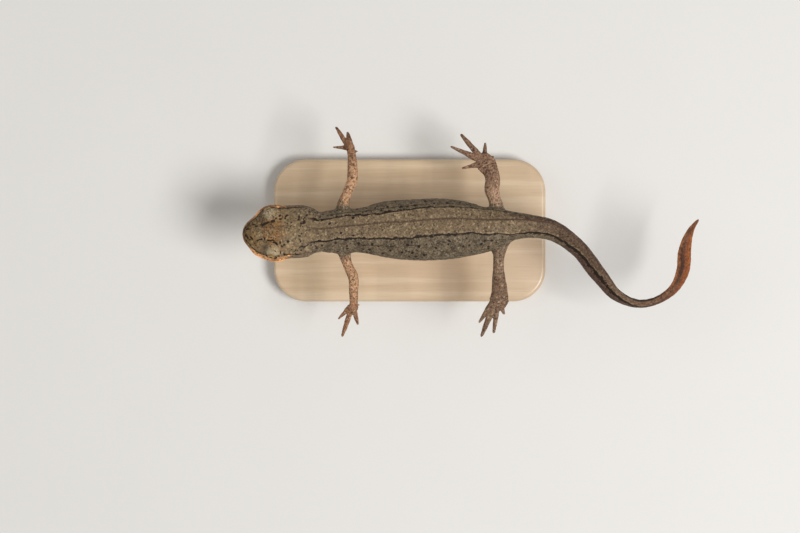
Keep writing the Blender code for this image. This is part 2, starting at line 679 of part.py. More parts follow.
def make_stand(base_finish, rod_finish):
    """The flat base and two short rods, each with a collar at its foot and a saddle under the belly."""
    size = (BASE_LENGTH, BASE_WIDTH, BASE_CORNER)
    base = loft(
        "stand_base",
        [
            rounded_outline(*size, 0.0),
            rounded_outline(*size, BASE_THICKNESS - BASE_CHAMFER),
            rounded_outline(*size, BASE_THICKNESS, BASE_CHAMFER),
        ],
        base_finish,
    )
    shade(base)
    foot = BASE_THICKNESS + GAP - AXIS_HEIGHT
    for name, (x, y) in ROD_PLACES.items():
        profile = [
            (foot, COLLAR_RADIUS),
            (foot + COLLAR_HEIGHT * 0.6, COLLAR_RADIUS),
            (foot + COLLAR_HEIGHT, ROD_RADIUS + COLLAR_LIP),
            (foot + COLLAR_HEIGHT + COLLAR_LIP, ROD_RADIUS),
            (-BELLY_DEPTH - SADDLE_HEIGHT + SADDLE_FLARE, ROD_RADIUS),
            (-BELLY_DEPTH + SADDLE_FLARE, SADDLE_RADIUS),
            (-BELLY_DEPTH + SADDLE_OVERLAP, SADDLE_RADIUS),
        ]
        rings = []
        for z, radius in profile:
            turns = [2 * math.pi * k / 20 for k in range(20)]
            rings.append([Vector((x + radius * math.cos(a), y + radius * math.sin(a), z)) for a in turns])
        rod = loft(f"stand_rod_{name}", rings, rod_finish)
        hollow = [body_distance(x + reach) for reach in BELLY_RINGS]
        combine(rod, [body_stretch("belly_cutter", hollow, BODY_SIDES, swell=GAP)], "DIFFERENCE")
        shade(rod)


def main():
    clear_scene()
    skin = material("newt_skin", (0.17, 0.145, 0.085), 0.45)
    limb_skin = material("newt_limb_skin", (0.26, 0.19, 0.12), 0.45)
    eye = material("newt_eye", (0.25, 0.17, 0.06), 0.1)
    base = material("stand_wood", (0.60, 0.47, 0.33), 0.4)
    rod = material("stand_steel", (0.55, 0.55, 0.56), 0.3, 1.0)
    make_head(skin, eye)
    make_body(skin)
    make_tail(skin)
    for name, limb in LIMBS.items():
        make_limb(name, limb["joints"], limb["digits"], limb_skin)
    make_stand(base, rod)


if __name__ == "__main__":
    main()
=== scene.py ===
"""A smooth newt at life size on its display stand, finished: skin, eyes, stand, light and camera.

Metres, +Z up. The snout points along -X and the animal's right side is +Y. The newt's own tables are in
millimetres from the axis of its body, and its pieces are modelled so and set in place at the end.
"""

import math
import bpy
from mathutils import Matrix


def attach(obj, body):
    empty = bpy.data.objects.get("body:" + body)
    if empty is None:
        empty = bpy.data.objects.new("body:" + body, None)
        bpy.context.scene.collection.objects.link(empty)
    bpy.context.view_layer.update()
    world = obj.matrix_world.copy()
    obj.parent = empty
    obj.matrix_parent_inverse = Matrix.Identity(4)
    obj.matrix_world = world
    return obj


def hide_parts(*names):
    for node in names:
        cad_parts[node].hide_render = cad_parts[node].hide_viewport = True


bl_info = {
    "name": "Smooth Newt Model",
    "version": (1, 0, 0),
    "blender": (4, 5, 0),
    "location": "3D View > Sidebar > Newt",
    "description": "Builds the skin, eyes, stand and studio of a life-size smooth newt model",
    "category": "Object",
}

import bmesh
import bpy
import numpy as np
from mathutils import Vector

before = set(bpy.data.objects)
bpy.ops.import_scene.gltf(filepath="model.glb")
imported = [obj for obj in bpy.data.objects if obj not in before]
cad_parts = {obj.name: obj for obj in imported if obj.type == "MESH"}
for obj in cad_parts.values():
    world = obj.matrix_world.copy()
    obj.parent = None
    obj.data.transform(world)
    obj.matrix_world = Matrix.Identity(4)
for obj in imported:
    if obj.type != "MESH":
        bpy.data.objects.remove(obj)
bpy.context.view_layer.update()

MM = 0.001

# The stand, in mm.
BASE_LENGTH = 42.0
BASE_WIDTH = 22.0
BASE_THICKNESS = 3.0
BASE_CORNER = 5.0
BASE_CHAMFER = 0.6
BASE_FOOT = 0.15  # the bevel round its lower rim
BELLY_CLEARANCE = 8.0
BELLY_DEPTH = 4.0
AXIS_HEIGHT = BASE_THICKNESS + BELLY_CLEARANCE + BELLY_DEPTH
ROD_PLACES = {"front": (-6.6, -0.2), "rear": (9.0, 0.0)}
ROD_SEAT = (3.4, 0.03)  # half the length of the belly cut from each rod's saddle, and its spare room

# The rods' outline, in mm: radii with heights above the base, and then above the bottom of the belly.
ROD_FOOT = [
    (0.0, 0.0), (1.55, 0.0), (1.70, 0.15), (1.70, 0.66),
    (1.58, 0.816), (1.08, 1.032), (0.86, 1.32), (0.80, 1.5),
]
ROD_SADDLE = [(0.80, -1.4), (0.88, -1.0), (1.22, 0.1), (1.30, 0.4), (1.30, 2.4), (0.0, 2.4)]

# Cross-sections of the body: its axis (x, y, z), its reach to each side, up and down, its roll towards the
# right side in degrees, how much its edges are pinched into fins, and how square it is.
BODY = {
    "snout": (-25.1, -0.80, -0.15, 1.70, 0.95, 0.95, 5, 0.0, 2.2),
    "nostrils": (-24.0, -0.76, -0.10, 2.16, 1.20, 1.20, 5, 0.0, 2.3),
    "muzzle": (-22.8, -0.78, -0.05, 3.18, 1.42, 1.45, 5, 0.0, 2.3),
    "eyes": (-20.9, -0.64, 0.00, 4.05, 1.66, 1.70, 5, 0.0, 2.3),
    "cheeks": (-18.6, -0.44, 0.00, 3.98, 1.78, 1.90, 5, 0.0, 2.3),
    "jaw_joint": (-16.4, -0.36, 0.00, 3.96, 1.86, 2.05, 5, 0.0, 2.2),
    "nape": (-15.0, -0.36, 0.00, 3.72, 1.90, 2.10, 5, 0.0, 2.2),
    "neck": (-13.7, -0.42, 0.00, 3.02, 1.98, 2.10, 6, 0.0, 2.1),
    "collar": (-12.2, -0.38, 0.00, 3.18, 2.12, 2.45, 7, 0.0, 2.1),
    "shoulders": (-10.0, -0.26, 0.00, 3.20, 2.32, 2.80, 10, 0.0, 2.1),
    "armpits": (-7.4, -0.18, 0.00, 3.38, 2.52, 3.05, 12, 0.0, 2.1),
    "ribs": (-3.8, 0.00, 0.00, 4.26, 2.80, 3.55, 14, 0.0, 2.1),
    "waist": (0.0, -0.06, 0.00, 4.60, 3.00, 3.88, 16, 0.0, 2.1),
    "belly": (4.0, 0.02, 0.00, 4.73, 3.06, 3.95, 18, 0.0, 2.1),
    "flanks": (7.5, 0.04, 0.00, 4.40, 2.95, 3.66, 19, 0.0, 2.1),
    "loins": (10.5, -0.02, 0.00, 3.70, 2.72, 3.12, 20, 0.0, 2.1),
    "hips": (13.2, 0.30, 0.00, 2.84, 2.50, 2.72, 21, 0.0, 2.05),
    "vent": (15.2, 0.50, 0.00, 2.22, 2.34, 2.62, 22, 0.1, 2.0),
    "tail_root": (18.0, 0.42, -0.05, 1.74, 2.22, 2.15, 25, 0.2, 2.0),
    "tail_upper": (21.0, -0.08, -0.10, 1.50, 2.12, 2.05, 29, 0.3, 2.0),
    "tail_slope": (25.0, -2.70, -0.25, 1.08, 2.00, 1.95, 32, 0.4, 2.0),
    "tail_middle": (28.5, -7.05, -0.40, 0.92, 1.85, 1.80, 34, 0.45, 2.0),
    "tail_turn": (31.2, -10.05, -0.50, 0.76, 1.62, 1.58, 24, 0.5, 2.0),
    "tail_bottom": (34.6, -11.20, -0.55, 0.62, 1.42, 1.40, 8, 0.5, 2.0),
    "tail_rise": (37.6, -10.45, -0.50, 0.56, 1.30, 1.28, 22, 0.5, 2.0),
    "tail_corner": (39.8, -8.70, -0.40, 0.52, 1.22, 1.20, 42, 0.5, 2.0),
    "tail_blade": (41.0, -6.10, -0.25, 0.47, 1.18, 1.16, 66, 0.5, 2.0),
    "tail_lancet": (41.2, -3.45, -0.10, 0.41, 1.10, 1.10, 73, 0.5, 2.0),
    "tail_taper": (41.6, -1.50, 0.05, 0.34, 0.82, 0.82, 71, 0.4, 2.0),
    "tail_point": (42.3, 0.15, 0.15, 0.24, 0.48, 0.48, 68, 0.2, 2.0),
    "tail_end": (43.3, 1.50, 0.20, 0.13, 0.17, 0.17, 65, 0.0, 2.0),
}
SNOUT_ROUND = 1.6
TAIL_ROUND = 0.5

# The eyes and their lids, in mm.
LIDS_BACK = 4.4
LIDS_OUT = 2.60
LIDS_UP = 0.72
LID_RADIUS = 1.36
LID_BLEND = 0.55
LID_LEAN = 0.4  # how far the lids lean out, for each step up
LID_OPENING = (0.92, 0.76)
LID_FLARE = ((0.3, 0.75), (1.2, 1.0), (2.4, 1.5))
EYE_PROUD = 0.22
EYE_RADIUS = 1.04
EYE_TILT = 20.0
EYE_FORWARD = 0.32
SOCKET_GAP = 0.05
CORNEA_HEIGHT = 0.10
CORNEA_REACH = 0.8  # of the eye's radius
IRIS_BACK_SPREAD = 9.0  # how much wider the iris's map lies on the back of the eye

# The mouth and nostrils, in mm.
MOUTH_REACH = 6.6
MOUTH_FRONT_Z = -0.26
MOUTH_CORNER_Z = -0.66
LIP_SWELL = 0.24
LIP_SPREAD = 0.38
NOSTRIL_BACK = 0.62
NOSTRIL_ANGLE = 38.0

# Limbs: stations along the axis, each x, y, z, half width and half height, then the digits, each with the
# place where it leaves the hand or foot, its heading, its droop in degrees, its length and half thickness.
LIMBS = {
    "arm_right": {
        "joints": [
            (-10.10, 1.60, -0.70, 1.00, 1.00),
            (-10.05, 3.60, -0.65, 0.92, 0.92),
            (-9.40, 5.55, -0.45, 0.70, 0.76),
            (-8.70, 7.20, -0.35, 0.84, 0.80),
            (-8.65, 9.30, -0.85, 0.76, 0.70),
            (-8.76, 11.10, -1.45, 0.68, 0.62),
            (-9.00, 12.30, -1.85, 0.60, 0.78),
            (-9.36, 13.30, -2.15, 0.46, 0.55),
        ],
        "digits": [
            (-9.60, 13.00, -2.00, 123, 14, 3.1, 0.38),
            (-9.05, 12.90, -2.20, 102, 30, 2.3, 0.42),
            (-9.10, 12.30, -2.10, 177, 20, 2.8, 0.36),
            (-8.80, 11.70, -1.90, 8, 48, 1.6, 0.34),
        ],
    },
    "arm_left": {
        "joints": [
            (-10.10, -1.90, -0.35, 1.00, 1.00),
            (-9.85, -3.75, -0.30, 0.84, 0.88),
            (-9.26, -5.55, -0.20, 0.72, 0.76),
            (-8.50, -7.35, -0.20, 0.80, 0.80),
            (-8.48, -9.30, -0.75, 0.69, 0.68),
            (-8.46, -10.95, -1.30, 0.66, 0.60),
            (-8.55, -11.85, -1.60, 0.68, 0.50),
            (-8.72, -12.50, -1.85, 0.50, 0.38),
        ],
        "digits": [
            (-8.95, -11.60, -1.70, -134, 16, 2.9, 0.38),
            (-8.85, -12.10, -1.75, -109, 10, 4.5, 0.40),
            (-8.45, -12.05, -1.75, -75, 18, 2.6, 0.38),
            (-8.20, -11.45, -1.65, 6, 58, 1.4, 0.32),
        ],
    },
    "leg_right": {
        "joints": [
            (13.10, 1.30, -1.05, 1.15, 1.10),
            (13.05, 3.40, -0.95, 1.05, 1.05),
            (12.65, 4.65, -0.70, 0.95, 1.00),
            (12.30, 6.10, -0.45, 1.18, 1.06),
            (12.45, 7.20, -0.80, 1.12, 0.92),
            (12.23, 8.48, -1.35, 1.18, 0.74),
            (11.50, 9.90, -1.80, 1.42, 0.50),
            (10.90, 10.95, -2.05, 1.00, 0.38),
        ],
        "digits": [
            (10.60, 9.85, -1.90, 193, 10, 2.95, 0.38),
            (10.60, 10.45, -2.00, 155, 7, 5.10, 0.42),
            (10.80, 10.80, -2.00, 131, 9, 4.90, 0.44),
            (11.25, 10.80, -2.00, 86, 34, 3.10, 0.44),
            (12.10, 10.50, -1.90, 48, 50, 1.80, 0.36),
        ],
    },
    "leg_left": {
        "joints": [
            (13.60, -0.60, -0.25, 1.50, 1.15),
            (13.45, -2.85, -0.10, 1.10, 1.04),
            (13.30, -4.35, 0.00, 0.82, 0.94),
            (13.26, -6.00, 0.05, 0.86, 0.92),
            (13.34, -7.65, -0.45, 1.02, 0.86),
            (13.47, -9.30, -1.05, 1.22, 0.70),
            (13.40, -10.65, -1.45, 1.36, 0.50),
            (13.10, -11.80, -1.75, 0.98, 0.38),
        ],
        "digits": [
            (12.40, -11.10, -1.65, -124, 10, 3.75, 0.40),
            (12.55, -11.70, -1.75, -112, 7, 5.00, 0.44),
            (13.10, -11.80, -1.75, -97, 9, 4.00, 0.42),
            (13.70, -11.50, -1.70, -66, 45, 2.50, 0.40),
            (14.15, -10.60, -1.60, -22, 48, 1.70, 0.36),
        ],
    },
}
DIGIT_SUNK = {"arm": 0.45, "leg": 0.9}
DIGIT_SPARE = {"arm": 1.0, "leg": 1.12}  # what smoothing takes off again
DIGIT_CURL = 14.0
DIGIT_TIP = 0.36  # its half thickness near the tip, of that at its root
DIGIT_TAPER = 1.5
DIGIT_FLATNESS = 0.85
KNUCKLES = (0.42, 0.70)  # how far along a digit its joints are
KNUCKLE_SWELL = 0.10
KNUCKLE_WIDTH = 0.07  # of the digit's length
TIP_ROUND = 1.3  # the length of the tip's round, in its half thicknesses

# The dark lines of the back: distance from the snout in mm, and angle from the middle of the back.
RIGHT_LINE = [
    (9.0, 25), (10.6, 28), (12.4, 32), (14.0, 33), (15.5, 35), (17.8, 33), (19.2, 29), (20.7, 23),
    (22.1, 26), (23.6, 28), (26.8, 32), (29.6, 32), (32.6, 35), (35.9, 42), (38.0, 45), (40.4, 41),
    (43.2, 34), (46.2, 29), (51.0, 26), (56.6, 25), (60.6, 32), (64.0, 45), (82.0, 60),
]
LEFT_LINE = [
    (9.0, 26), (10.3, 27), (11.6, 32), (13.1, 30), (14.3, 27), (15.3, 31), (17.6, 28), (19.0, 32),
    (21.0, 27), (22.1, 30), (23.7, 27), (25.2, 27), (28.1, 23), (32.6, 23), (34.2, 21), (35.6, 26),
    (38.5, 40), (40.0, 60), (41.7, 65), (45.5, 66), (48.3, 73), (51.1, 72), (54.0, 70), (57.6, 63),
    (59.6, 57), (62.0, 58), (64.0, 70), (71.1, 76), (82.0, 76),
]
SPINE_LINE = [
    (9.0, 3), (11.6, 4), (17.7, 4), (23.6, 4), (31.1, 7), (35.8, 8), (38.8, 4), (41.6, 1), (45.3, -5),
    (48.1, -8), (82.0, -8),
]
# The dark middle of the tail's end: distance from the snout in mm, and angle from the middle of the back.
CORE_LINE = [
    (60.6, 20), (64.0, 50), (66.0, 36), (68.0, -6), (70.0, -36), (72.0, -58), (74.0, -68), (82.0, -68),
]
EDGE_REACH = (-1.3, 4.0)  # how far from the dark lines the distance is kept, to the back and the belly

# Dark marks on the head and back, seen from above: each a stroke from x, y by a step of x, y, and half its
# width.
MARKS = [
    (-24.50, -0.10, 0.28, 0.20, 0.07), (-23.62, 0.68, 0.30, 0.02, 0.08), (-23.10, 0.46, 0.20, -0.04, 0.08),
    (-22.15, 0.58, 0.42, 0.14, 0.12), (-21.62, 0.80, 0.45, 0.22, 0.11), (-20.62, 1.14, 0.30, 0.08, 0.17),
    (-20.10, 1.56, 0.18, 0.08, 0.08), (-19.50, 1.96, 0.10, 0.08, 0.11), (-19.05, 2.03, 0.24, 0.02, 0.07),
    (-18.45, 2.02, 0.22, 0.06, 0.10), (-19.50, 1.50, 0.30, 0.03, 0.07), (-18.70, 1.58, 0.20, -0.05, 0.06),
    (-24.62, -0.92, 0.10, -0.10, 0.11), (-24.34, -1.10, 0.08, -0.28, 0.08),
    (-23.82, -1.18, 0.24, -0.28, 0.10), (-24.00, -1.62, 0.10, 0.02, 0.06), (-22.86, -1.74, 0.16, 0.04, 0.10),
    (-22.30, -1.54, 0.14, 0.06, 0.10), (-21.76, -1.30, 0.06, -0.32, 0.09), (-21.80, -0.98, 0.02, 0.14, 0.05),
    (-21.28, -1.66, 0.40, -0.10, 0.08), (-20.72, -1.70, 0.26, 0.04, 0.09),
    (-20.36, -1.98, 0.24, -0.08, 0.10), (-19.98, -2.16, 0.14, -0.18, 0.11),
    (-19.46, -1.90, 0.10, -0.22, 0.10), (-19.20, -2.50, 0.10, -0.14, 0.08),
    (-18.86, -2.44, 0.14, 0.12, 0.09), (-18.28, -1.90, 0.16, 0.06, 0.12), (-19.36, -3.15, 0.02, -0.55, 0.05),
    (-18.84, -3.74, 0.06, -0.04, 0.10), (-16.62, 2.10, 0.04, -0.60, 0.09), (-16.90, 1.30, 0.34, 0.03, 0.06),
    (-16.30, 0.86, 0.62, 0.05, 0.09), (-15.66, 1.18, -0.06, -0.20, 0.09), (-15.82, 1.62, 0.14, 0.06, 0.09),
    (-15.44, 1.96, 0.05, 0.22, 0.07), (-16.44, -1.84, 0.10, 0.04, 0.09), (-15.90, -1.80, 0.10, 0.02, 0.08),
    (-16.70, -2.56, 0.12, -0.02, 0.10), (-16.25, -2.60, 0.16, 0.02, 0.09),
    (-15.74, -2.66, 0.10, -0.10, 0.10), (-15.36, -2.42, 0.12, 0.10, 0.09), (-16.34, -3.18, 0.10, 0.02, 0.08),
    (-16.60, -1.00, 0.20, -0.06, 0.09), (-14.80, -2.40, 0.10, 0.02, 0.07), (-12.05, 0.76, 0.10, 0.04, 0.15),
    (-10.35, -0.62, 0.10, 0.04, 0.14), (-8.55, 1.64, 0.12, 0.04, 0.16), (-8.50, -1.00, 0.08, 0.02, 0.13),
    (-4.85, 2.22, 0.14, 0.04, 0.11), (0.25, -3.60, 0.12, 0.06, 0.14), (3.80, -2.85, 0.12, -0.06, 0.12),
    (5.65, -1.75, 0.10, 0.02, 0.11), (10.55, -2.30, 0.16, 0.06, 0.13), (-1.25, -3.50, 0.10, 0.02, 0.11),
    (2.05, -3.90, 0.10, -0.06, 0.12), (-3.00, -3.20, 0.10, 0.02, 0.10),
]
MARK_REACH = 0.6  # past this far from every mark the distance isn't kept

# The skin's mesh: where its close stations end, how far apart they are in mm, and how many follow.
HEAD_END = 10.0
HEAD_STEP = 0.15
TRUNK_STATIONS = 280
TRUNK_SIDES = 120
LIMB_END_ROUND = 1.1  # the length of the round at a limb's end, in its half heights
LIMB_END_RINGS = (0.45, 0.8, 0.97)  # how far along that round its rings are

# The corners between the parts of the skin, and its unevenness, in mm.
CREASE_REACH = 1.1
PALM_WEB = 0.10
NOISE_SEED = 7
WANDER_GRAIN = 1.6
FINE_GRAIN = 0.45

# The skin's relief, in mm: heights and depths, places along the body, and spacings. The depths of the
# mouth, the throat's fold and the ribs' grooves are in the panel.
LIP_RIM = 0.05
CORNER_FOLD = 0.06
NOSTRIL_RIM = 0.05
NOSTRIL_PIT = 0.20
EYE_RIDGE = 0.07
SNOUT_DIP = 0.10
CROWN_DIP = 0.06
JAW_SWELL = 0.08
JAW_GROOVE = 0.05
LID_GROOVE = 0.07
THROAT_FOLD = 11.9
THROAT_RIM = 0.10
NECK_FOLDS = (10.4, 13.2, 14.1)
NECK_FOLD_DEPTH = 0.045
RIB_SPACING = 1.52
SPINE_GROOVE = 0.05
LINE_RIDGE = 0.055
LINE_GROOVE = 0.035
MUSCLE_SPACING = 1.35
MUSCLE_GROOVE = 0.028
FIN_HOLLOW = 0.10
VENT_PLACE = 40.6
VENT_SWELL = 0.22
VENT_SLIT = 0.20
JOINT_CREASES = ((3, 0.07, True), (5, 0.035, False))  # station, depth, inner side only
CREASE_STEPS = (-0.38, 0.0, 0.30)
ROOT_FOLDS = 0.035
UNEVENNESS = (0.030, 0.014)  # broad and fine

# Where the paints fade along the body, in mm from the snout: none at the first number, full at the second.
FADES = {
    "lips": (0.2, 2.2),
    "upper_lip": (0.8, 4.0),
    "snout": (3.4, 1.4),
    "snout_shade": (5.5, 2.5),
    "before_lids": (4.4, 3.2),
    "seam": (6.6, 5.4),
    "brink": (10.0, 8.0),
    "head": (13.0, 7.5),
    "lines": (9.4, 10.6),
    "belly": (10.0, 16.0),
    "second_line": (13.0, 15.0),
    "second_line_ends": (29.0, 26.0),
    "fore_flank": (26.0, 18.0),
    "rear_flank": (36.0, 41.0),
    "spine_dark": (34.0, 40.0),
    "spine_ends": (56.0, 48.0),
    "tail": (38.0, 50.0),
    "tail_side": (37.0, 42.0),
    "tail_side_wide": (38.0, 45.0),
    "tail_side_ends": (60.0, 56.0),
    "tail_flank": (45.0, 53.0),
    "tail_light": (55.0, 62.0),
    "tail_end": (61.5, 70.5),
    "core": (60.5, 64.0),
    "core_ends": (78.0, 74.0),
    "fins": (66.0, 72.0),
}

# The paints of the newt, its eyes and its stand: each a colour and what it is for.
PAINTS = {
    "back": ((0.174, 0.122, 0.073), "Olive tan of the back"),
    "back_dark": ((0.110, 0.075, 0.045), "Brown mottling of the back"),
    "head": ((0.190, 0.132, 0.071), "Olive brown of the head"),
    "head_dark": ((0.120, 0.088, 0.056), "Olive mottling of the head"),
    "snout": ((0.112, 0.055, 0.009), "Brown of the snout"),
    "slate": ((0.110, 0.079, 0.054), "Dark grey in front of the lids"),
    "fleck": ((0.330, 0.255, 0.150), "Pale flecks of the back"),
    "flank": ((0.124, 0.092, 0.058), "Grey olive of the flanks"),
    "flank_dark": ((0.064, 0.048, 0.031), "Dark mottling of the flanks"),
    "flank_pale": ((0.220, 0.185, 0.130), "Pale specks of the flanks"),
    "rim": ((0.380, 0.290, 0.170), "Pale rim of the dark lines"),
    "dark": ((0.018, 0.011, 0.008), "Black-brown of the lines and dots"),
    "thread": ((0.070, 0.042, 0.028), "The line along the middle of the back"),
    "cream": ((0.560, 0.440, 0.270), "Lower flanks, throat and undersides"),
    "belly": ((0.640, 0.270, 0.070), "Orange of the belly"),
    "orange": ((0.400, 0.140, 0.040), "Orange edges of the tail"),
    "tail": ((0.088, 0.054, 0.034), "Brown of the tail above its dark line"),
    "tail_low": ((0.090, 0.052, 0.036), "Purple brown of the tail below its dark line"),
    "tip": ((0.184, 0.051, 0.013), "Orange brown of the tail's end"),
    "core": ((0.046, 0.017, 0.009), "Dark middle of the tail's end"),
    "arm": ((0.380, 0.215, 0.118), "Tan of the arms"),
    "hand": ((0.228, 0.112, 0.060), "Red brown of the hands"),
    "leg": ((0.290, 0.180, 0.112), "Tan of the legs"),
    "foot": ((0.195, 0.112, 0.071), "Purple brown of the feet"),
    "limb_dark": ((0.100, 0.048, 0.028), "Dark granules of the limbs"),
    "limb_pale": ((0.440, 0.310, 0.210), "Pale flecks of the limbs"),
    "rust": ((0.186, 0.070, 0.008), "Rusty tint between the eyes"),
    "lid": ((0.310, 0.258, 0.164), "Grey green of the lids"),
    "lip": ((0.950, 0.430, 0.150), "Pink of the lips"),
    "lip_dark": ((0.420, 0.150, 0.050), "Brown mottling of the lips"),
    "iris": ((0.300, 0.160, 0.035), "Gold of the iris"),
    "iris_dark": ((0.060, 0.030, 0.012), "Bar of the iris"),
    "iris_rim": ((0.560, 0.360, 0.090), "Bright ring round the pupil"),
    "pupil": ((0.006, 0.005, 0.005), "Black of the pupil"),
    "eye_edge": ((0.020, 0.016, 0.012), "Dark edge of the iris"),
    "maple": ((0.600, 0.460, 0.310), "Wood of the base"),
    "maple_dark": ((0.460, 0.320, 0.190), "Grain of the base"),
    "steel": ((0.400, 0.405, 0.415), "Steel of the rods"),
}

# The studio, in metres.
KEY_PLACE = (0.28, -0.12, 0.46)
KEY_SIZE = 0.22
FILL_PLACE = (-0.38, 0.10, 0.40)
FILL_SIZE = 0.40
SKY_COLOUR = (1.0, 0.985, 0.96, 1.0)
CAMERA_PLACE = (-0.0015, -0.0056)
SENSOR_MM = 36.0
FLOOR_SIZE = 3.0


def smooth_step(value, low, high):
    """0 below low, 1 above high and an even curve between them."""
    t = np.clip((value - low) / (high - low), 0.0, 1.0)
    return t * t * (3 - 2 * t)


def between(value, starts, full, fades, ends):
    """0 before it starts and after it ends, 1 from full to where it fades, and even curves between."""
    return smooth_step(value, starts, full) * (1 - smooth_step(value, fades, ends))


def bump(value, middle, width):
    """A round bump of height 1 at the middle."""
    return np.exp(-(((value - middle) / width) ** 2))


def unit(vectors):
    """The vectors at length 1."""
    return vectors / np.maximum(np.linalg.norm(vectors, axis=-1, keepdims=True), 1e-12)


def dot(a, b):
    """The dot product of each pair of rows."""
    return np.einsum("...i,...i->...", a, b)


class Curve:
    """A smooth curve through rows of numbers, measured by the distance along its first three columns."""

    def __init__(self, rows):
        self.rows = np.array(rows, float)
        spans = np.linalg.norm(np.diff(self.rows[:, :3], axis=0), axis=1)
        self.knots = np.concatenate([[0.0], np.cumsum(spans)])
        self.length = float(self.knots[-1])
        rise = np.diff(self.rows, axis=0) / spans[:, None]
        before, after = spans[:-1, None], spans[1:, None]
        self.slopes = np.concatenate([
            rise[:1],
            (rise[:-1] * after + rise[1:] * before) / (before + after),
            rise[-1:],
        ])

    def at(self, s):
        """The values and slopes of every column at each distance."""
        s = np.clip(np.atleast_1d(np.asarray(s, float)), 0.0, self.length)
        i = np.clip(np.searchsorted(self.knots, s, side="right") - 1, 0, len(self.knots) - 2)
        span = (self.knots[i + 1] - self.knots[i])[:, None]
        t = (s - self.knots[i])[:, None] / span
        ease = (2 * t**3 - 3 * t**2 + 1, t**3 - 2 * t**2 + t, 3 * t**2 - 2 * t**3, t**3 - t**2)
        rate = (6 * t**2 - 6 * t, 3 * t**2 - 4 * t + 1, 6 * t - 6 * t**2, 3 * t**2 - 2 * t)
        parts = (self.rows[i], self.slopes[i] * span, self.rows[i + 1], self.slopes[i + 1] * span)
        values = sum(e * part for e, part in zip(ease, parts))
        slopes = sum(r * part for r, part in zip(rate, parts)) / span
        return values, slopes


BODY_CURVE = Curve(list(BODY.values()))
BODY_PLACE = dict(zip(BODY, BODY_CURVE.knots))
LIMB_CURVES = {name: Curve(limb["joints"]) for name, limb in LIMBS.items()}


def end_rounding(s):
    """How much of its full size the body has at each distance: less in the rounds of its two ends."""
    full = np.ones_like(s)
    for reach, rounding in ((s, SNOUT_ROUND), (BODY_CURVE.length - s, TAIL_ROUND)):
        inside = np.clip(1 - reach / rounding, 0.0, 1.0)
        full = full * np.sqrt(1 - inside**2)
    return full


def body_frames(s):
    """The axis points of the body at each distance, and its right, up and tailward directions."""
    values, slopes = BODY_CURVE.at(s)
    along = unit(slopes[:, :3])
    right = unit(np.cross((0.0, 0.0, 1.0), along))
    up = np.cross(along, right)
    roll = np.radians(values[:, 6])[:, None]
    turned_right = right * np.cos(roll) - up * np.sin(roll)
    turned_up = up * np.cos(roll) + right * np.sin(roll)
    return values, turned_right, turned_up, along


def body_points(s, angle, swell=0.0):
    """The points of the body's surface at each distance, and angle to the right of the middle of the back."""
    values, right, up, _ = body_frames(s)
    half_width, crown, keel, _, pinch, square = values[:, 3:9].T
    full = end_rounding(s)
    power = 2 / square
    across = np.sign(np.sin(angle)) * np.abs(np.sin(angle)) ** power
    rise = np.sign(np.cos(angle)) * np.abs(np.cos(angle)) ** power
    across = across * (half_width * full + swell) * (1 - pinch * np.cos(angle) ** 2)
    rise = rise * (np.where(rise > 0, crown, keel) * full + swell)
    return values[:, :3] + right * across[:, None] + up * rise[:, None]


def one_frame(s):
    """The axis point and the three directions at one distance."""
    values, right, up, along = body_frames([s])
    return values[0, :3], right[0], up[0], along[0]


def lids_centre(side):
    """The middle of the round of the lids on that side: 1 is the right, -1 the left."""
    centre, right, up, _ = one_frame(LIDS_BACK)
    return centre + right * (side * LIDS_OUT) + up * LIDS_UP


def eye_axes(side):
    """The way the eye on that side looks, and the ways of its length and height."""
    _, right, up, along = one_frame(LIDS_BACK)
    tilt = math.radians(EYE_TILT)
    ahead = unit(right * (side * math.cos(tilt)) + up * math.sin(tilt) - along * EYE_FORWARD)
    length_way = unit(along - ahead * along.dot(ahead))
    return ahead, length_way, np.cross(ahead, length_way)


def mouth_height(s):
    """How high the line of the mouth is above the head's axis."""
    return MOUTH_FRONT_Z + (MOUTH_CORNER_Z - MOUTH_FRONT_Z) * (s / MOUTH_REACH) ** 2


def mouth_line():
    """The line between the lips, from the left corner of the mouth round the snout to the right corner."""
    t = np.linspace(-1, 1, 161)
    under = abs(MOUTH_FRONT_Z) / BODY["snout"][5]
    start = SNOUT_ROUND * (1 - math.sqrt(1 - under * under))
    s = start + (MOUTH_REACH - start) * t * t
    values, right, up, _ = body_frames(s)
    half_width, _, keel, _, _, square = values[:, 3:9].T
    full = end_rounding(s)
    height = mouth_height(s)
    depth = np.minimum(1.0, np.abs(height) / (keel * full))
    out = half_width * full * (1 - depth**square) ** (1 / square)
    points = values[:, :3] + right * (np.sign(t) * out)[:, None] + up * height[:, None]
    return head_form(points, s)


def head_form(points, s):
    """Moves points of the head out to the swell of the lips and the round of the lids."""
    values, _, up, _ = body_frames(s)
    offset = points - values[:, :3]
    rise = dot(offset, up)
    out = offset - up * rise[:, None]
    reach = np.linalg.norm(out, axis=1)
    fade = np.clip((MOUTH_REACH + 0.5 - s) / 1.5, 0.0, 1.0) * (reach > LIP_SPREAD)
    swell = LIP_SWELL * fade * bump(rise - mouth_height(s), 0.0, LIP_SPREAD)
    points = points + unit(out) * swell[:, None]
    for side in (1, -1):
        centre = lids_centre(side)
        away = points - centre
        reach = np.linalg.norm(away, axis=1)
        swell = 0.5 * (LID_RADIUS - reach + np.hypot(LID_RADIUS - reach, LID_BLEND))
        fade = np.clip((2 * LID_RADIUS - reach) / LID_RADIUS, 0.0, 1.0)
        points = centre + away * ((reach + swell * fade) / reach)[:, None]
    return points


